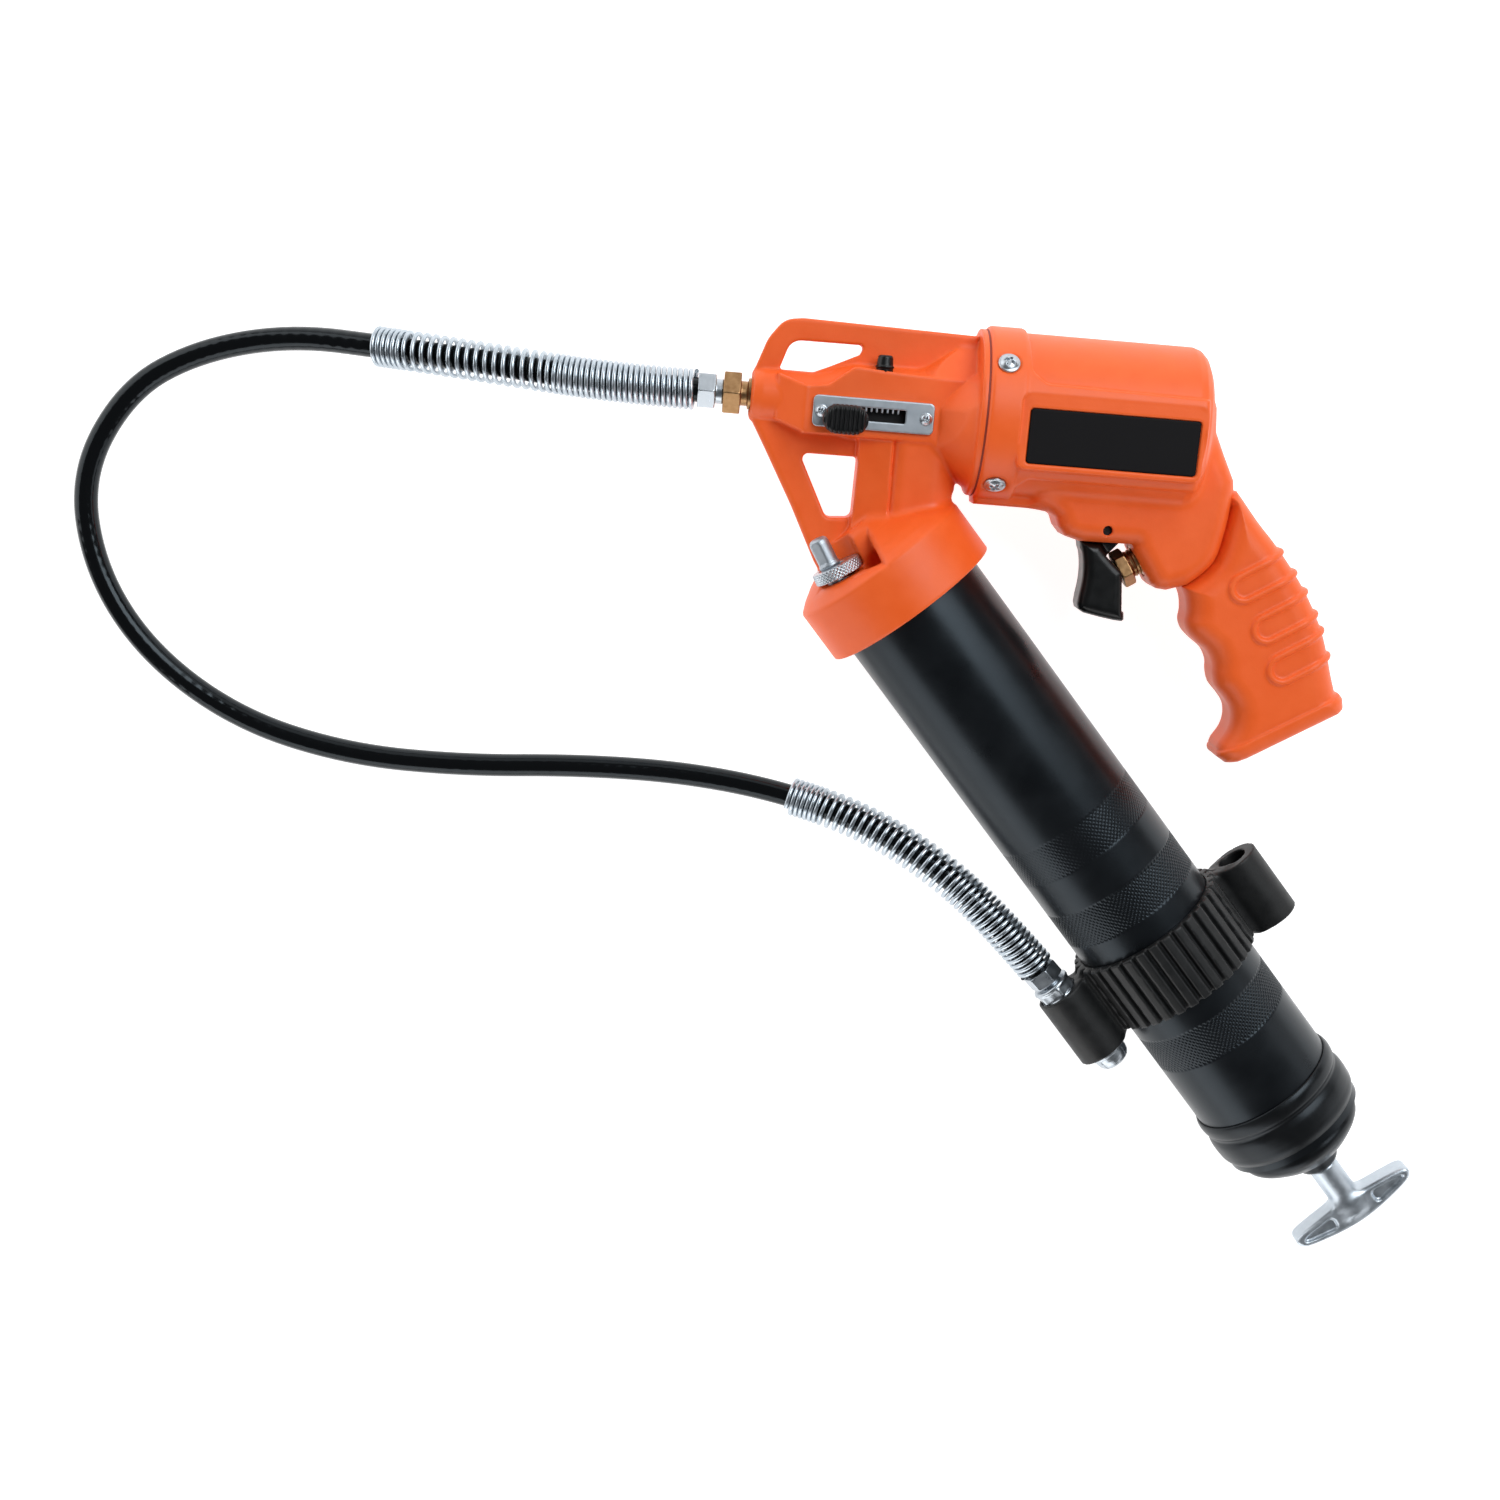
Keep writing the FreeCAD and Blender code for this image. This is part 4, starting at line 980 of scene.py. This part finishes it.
FOOT_WAY = unit((-0.522, 0.853, 0.0))


def grip(p):
    x, y, z = p
    d2 = polygon(x, y, grip_outline)
    body = corner(d2, np.abs(z) - 15.0, 9.5)
    level = dot(offset(p, FOOT), FOOT_WAY)
    skirt = both(both(corner(d2 - 0.8, np.abs(z) - 15.8, 9.0), level - 6.4, 0.6), -level - 0.4, 2.0)
    body = join(body, skirt, 1.0)
    way_x, way_y, _ = BEAD_WAY.tolist()
    for (cx, cy), radius in BEADS:
        px, py = x - cx, y - cy
        along = np.maximum(px * way_x + py * way_y, 0.0)
        d = np.hypot(px - along * way_x, py - along * way_y)
        bead = both(np.abs(d - radius) - 1.15, body - 1.35, 1.3)
        body = join(body, bead, 0.9)
    inlet = pin(p, FOOT, FOOT_WAY, -4.0, 14.0, 8.0)
    return cut(body, inlet, 0.4)


solid("grip_shell", grip, (158.0, -123.5, -17.5), (230.5, -18.5, 17.5), 0.55, M["orange"], "gun_body",
      "orange_paint", "grip")


def inlet_bush(p):
    ring = pin(p, FOOT, FOOT_WAY, 0.2, 15.9, 7.95, 0.3)
    bore = threads(p, FOOT, FOOT_WAY, 6.1, 1.34, 0.5, -2.0, 17.0)
    return cut(ring, bore, 0.1)


solid("inlet_thread", inlet_bush, *around(FOOT + FOOT_WAY * 8.0, (13.0, 13.5, 8.8)), 0.36, M["steel"],
      "gun_body", "zinc_steel", "air_inlet_bush")


# ---- trigger and air valve
trigger_front = curve([(123.4, -43.2), (125.0, -48.0), (125.9, -53.0), (126.0, -58.5), (125.4, -64.0),
                       (125.2, -67.0)], 3)
trigger_outline = trigger_front + [
    (125.8, -68.9), (127.9, -70.1), (133.8, -71.2), (139.2, -72.0), (142.6, -72.2), (143.3, -71.4),
    (142.3, -62.0), (141.4, -53.4), (137.4, -50.0), (134.0, -46.8), (131.2, -43.6)]
trigger_hollow = rounded([(132.6, -49.5), (131.3, -53.0), (131.3, -68.5), (150.0, -68.5), (150.0, -44.0),
                          (138.0, -44.0)], 1.0)
lug_outline = rounded([(124.2, -47.0), (124.2, -39.0), (128.0, -33.2), (134.5, -32.6), (138.6, -38.0),
                       (138.6, -43.0), (134.6, -47.8)], 1.5)


def trigger(p):
    body = cut(slab(p, trigger_outline, -8.5, 8.5, 4.0), slab(p, trigger_hollow, -7.0, 7.0), 0.5)
    body = join(body, slab(p, lug_outline, -4.8, 4.8, 0.6), 0.8)
    return join(body, pin(p, VALVE, VALVE_WAY, 11.4, 16.0, 4.0, 0.5), 0.4)


solid("trigger_lever", trigger, (121.5, -74.0, -10.0), (147.0, -31.0, 10.0), 0.45, M["plastic"], "trigger",
      "black_plastic", "trigger")


def valve_nut(p):
    inner = pin(p, VALVE, VALVE_WAY, -11.8, -1.0, 6.4, 0.3)
    core = threads(p, VALVE, VALVE_WAY, 5.4, 1.3, 0.5, -2.0, 3.0)
    nut = hexagon(p, VALVE + VALVE_WAY * 2.6, VALVE + VALVE_WAY * 7.1, 12.9, turn=10.0)
    hole = pin(p, VALVE, VALVE_WAY, 2.0, 9.0, 3.4)
    return cut(join(join(core, inner, 0.2), nut, 0.3), hole, 0.2)


solid("valve_nut", valve_nut, *around(VALVE + local(2.0, 1.3, 0), (12.5, 11.5, 8.2)), 0.34, M["brass"],
      "gun_body", "brass", "trigger_valve_body")


# ---- barrel, boot and pull handle
BARREL_R = 28.5
KNURLS = ((203.0, 0.14), (233.0, 0.30), (295.0, 0.34))
KNURL_HALF = 7.6
stations = [84.0, 90.0]
for middle, _ in KNURLS:
    first, last = middle - KNURL_HALF, middle + KNURL_HALF
    stations += list(np.arange(stations[-1] + 8.0, first - 1.0, 8.0))
    stations += [first - 0.6] + list(np.arange(first, last, 0.35)) + [last, last + 0.6]
stations += list(np.arange(stations[-1] + 6.0, 353.0, 6.0)) + [353.6, 354.0]


def knurled(along, angle):
    """The three knurled bands, each with its depth."""
    wall = sum(np.clip((KNURL_HALF - np.abs(along - middle)) * 2.5, 0.0, 1.0) * deep
               for middle, deep in KNURLS)
    return diamond(along, angle, 1.9, 94, 1.0) * wall


spun("barrel_skin", (0, 0, 0), DOWN, [(s, BARREL_R) for s in stations], 940, M["barrel"], "gun_body",
     "black_tube", "barrel_tube", relief=knurled)

boot_profile = curve([(331.0, 28.52), (330.9, 29.0), (331.5, 29.5), (333.2, 29.9), (335.6, 29.75),
                      (337.4, 29.3), (338.6, 29.05), (339.8, 29.5), (341.6, 29.95), (345.0, 30.05),
                      (348.6, 29.75), (350.6, 28.9), (352.6, 27.6), (353.8, 26.2), (354.6, 25.2),
                      (355.8, 25.3), (357.6, 25.6), (359.6, 25.0), (361.6, 23.3), (363.7, 20.7),
                      (365.9, 17.6), (367.6, 14.8), (368.9, 12.0), (370.2, 9.9), (371.6, 9.0),
                      (373.2, 8.2), (374.2, 7.2), (374.3, 6.2), (373.6, 5.0), (372.0, 4.6)], 5)


def boot_grooves(along, _):
    """Two fine mould lines round the boot."""
    return np.exp(-((along - 336.9) / 0.35) ** 2) * -0.22 - np.exp(-((along - 346.8) / 0.3) ** 2) * 0.12


spun("rubber_boot", (0, 0, 0), DOWN, boot_profile, 220, M["boot"], "gun_body", "black_rubber", "end_boot",
     relief=boot_grooves)



def handle_loop(points, side_sign=1):
    """A smooth closed outline through (along, across) points of the barrel."""
    return [tuple(on_barrel(s, n * side_sign)[:2]) for s, n in curve(points, 3, closed=True)]


half_bar = [(391.6, 6.4), (392.0, 12.0), (392.6, 19.0), (393.4, 24.2), (394.8, 26.2), (397.0, 26.0),
            (399.0, 23.4), (400.8, 16.0), (402.1, 8.0)]
bar_outline = handle_loop([(s, -n) for s, n in half_bar] + [(402.6, 0.0)] + half_bar[::-1])
channel = [(394.4, 9.6), (394.6, 16.0), (395.3, 21.6), (396.5, 23.0), (397.5, 20.6), (398.6, 14.6),
           (399.0, 9.6)]
channels = [handle_loop(channel, sign) for sign in (1, -1)]


def handle(p):
    shank = bar(p, on_barrel(374.8), on_barrel(398.0), 5.9, 0.8)
    arms = slab(p, bar_outline, -5.0, 5.0, 1.6)
    d = join(shank, arms, 4.0)
    for pocket in channels:
        for low, high in ((3.7, 9.0), (-9.0, -3.7)):
            d = cut(d, slab(p, pocket, low, high, 0.6), 1.0)
    return cut(d, bar(p, on_barrel(370.0), on_barrel(380.0), 4.0), 0.2)


handle_box = np.array([on_barrel(s, n) for s in (374.0, 403.5) for n in (-27.5, 27.5)])
solid("tee_handle", handle, handle_box.min(0) - local(0, 0, 6.8), handle_box.max(0) + local(0, 0, 6.8), 0.5,
      M["cast"], "pull_rod", "zinc_cast", "t_handle")


# ---- hose holder
SOCKET_AWAY = 42.2
COUPLER_MIDDLE = holder_point(267.0, SOCKET_AWAY, -1)


def holder(p):
    t, r = polar(p, (0, 0, 0), DOWN)
    angle = np.arctan2(p[2], dot(p, ACROSS))
    ribs = np.clip(np.cos(angle * 34.0) * 3.6 + 2.2, -1.0, 1.0)
    d = corner(r - 30.9 - 0.95 * ribs, np.abs(t - 264.25) - 14.25, 0.5)
    for sign in (-1, 1):
        top, bottom = holder_point(252.5, SOCKET_AWAY, sign), holder_point(281.5, SOCKET_AWAY, sign)
        socket = bar(p, top, bottom, 9.9, 0.4)
        inner = bar(p, holder_point(253.0, 36.0, sign), holder_point(280.0, 36.0, sign), 6.0, 1.0)
        d = join(d, join(socket, inner, 4.0), 3.6)
    d = cut(d, bar(p, on_barrel(245.0), on_barrel(286.0), BARREL_R + 0.02), 0.3)
    d = cut(d, pin(p, COUPLER_MIDDLE, COUPLER_WAY, -20.0, 20.0, 7.8), 0.5)
    return cut(d, bar(p, holder_point(248.0, SOCKET_AWAY, 1), holder_point(286.0, SOCKET_AWAY, 1), 5.75), 0.5)


holder_box = np.array([on_barrel(s, n) for s in (249.0, 283.0) for n in (-54.0, 54.0)])
solid("rubber_holder", holder, holder_box.min(0) - local(0, 0, 34.0), holder_box.max(0) + local(0, 0, 34.0),
      0.62, M["rubber"], "gun_body", "black_rubber", "hose_holder")


# ---- finishes of the CAD parts that stay
KEPT = {
    "gasket": ("housing_gasket",),
    "rubber": ("piston_seal", "rod_packing", "barrel_gasket", "follower_cup"),
    "chrome": ("check_ball",),
    "zinc": ("trigger_valve_stem", "pull_rod"),
    "black_steel": ("trigger_pin",),
    "steel": ("pump_sleeve", "check_spring", "bleed_valve_spring", "release_button_spring", "plunger_clip",
              "piston_return_spring", "trigger_valve_spring", "barrel_end_cap", "follower_front_plate",
              "follower_back_plate", "rod_clips", "follower_spring", "pump_plunger"),
    "cast": ("air_piston",),
}
for finish, names in KEPT.items():
    for node_name in names:
        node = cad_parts[node_name]
        if not node.material_slots:
            node.data.materials.append(M[finish])
        for slot in node.material_slots:
            slot.material = M[finish]


# ---- studio
def card(name, where, target, width, height, power, colour=(1, 1, 1)):
    """An area light facing a point, both in gun-frame millimetres."""
    data = bpy.data.lights.new(name, "AREA")
    data.shape = "RECTANGLE"
    data.size = width
    data.size_y = height
    data.energy = power
    data.color = colour
    obj = link(name, data)
    place_at = Vector(row(where))
    obj.location = place_at
    obj.rotation_euler = (Vector(row(target)) - place_at).to_track_quat("-Z", "Y").to_euler()


table_mesh = bpy.data.meshes.new("table")
table_mesh.from_pydata([(-6, -6, 0), (6, -6, 0), (6, 6, 0), (-6, 6, 0)], [], [(0, 1, 2, 3)])
table_mesh.materials.append(shader("white_table", (0.55, 0.55, 0.55), 0.0, 0.7, Specular_IOR_Level=0.1,
                                   Emission_Color=(1, 1, 1, 1), Emission_Strength=0.92)[0])
table = link("table", table_mesh)
table.location.z = cad_bounds[0][2] - 0.0002

card("key", (560, 600, 1000), (60, -60, 0), 0.9, 0.9, 12.8, (0.92, 0.97, 1.0))
card("left", (-1500, 500, 400), (0, -60, 0), 2.0, 1.0, 12.0)
card("top", (0, 1500, 520), (0, -60, 0), 2.4, 1.1, 7.0)
card("bottom", (-200, -1500, 480), (0, -60, 0), 2.2, 0.9, 13.5)
card("right", (1500, -500, 400), (0, -60, 0), 1.6, 0.9, 5.0)

world = bpy.data.worlds.new("studio")
world.use_nodes = True
world.node_tree.nodes["Background"].inputs["Color"].default_value = (0.93, 0.96, 1.0, 1.0)
world.node_tree.nodes["Background"].inputs["Strength"].default_value = 0.12
scene.world = world
scene.view_settings.view_transform = "Standard"
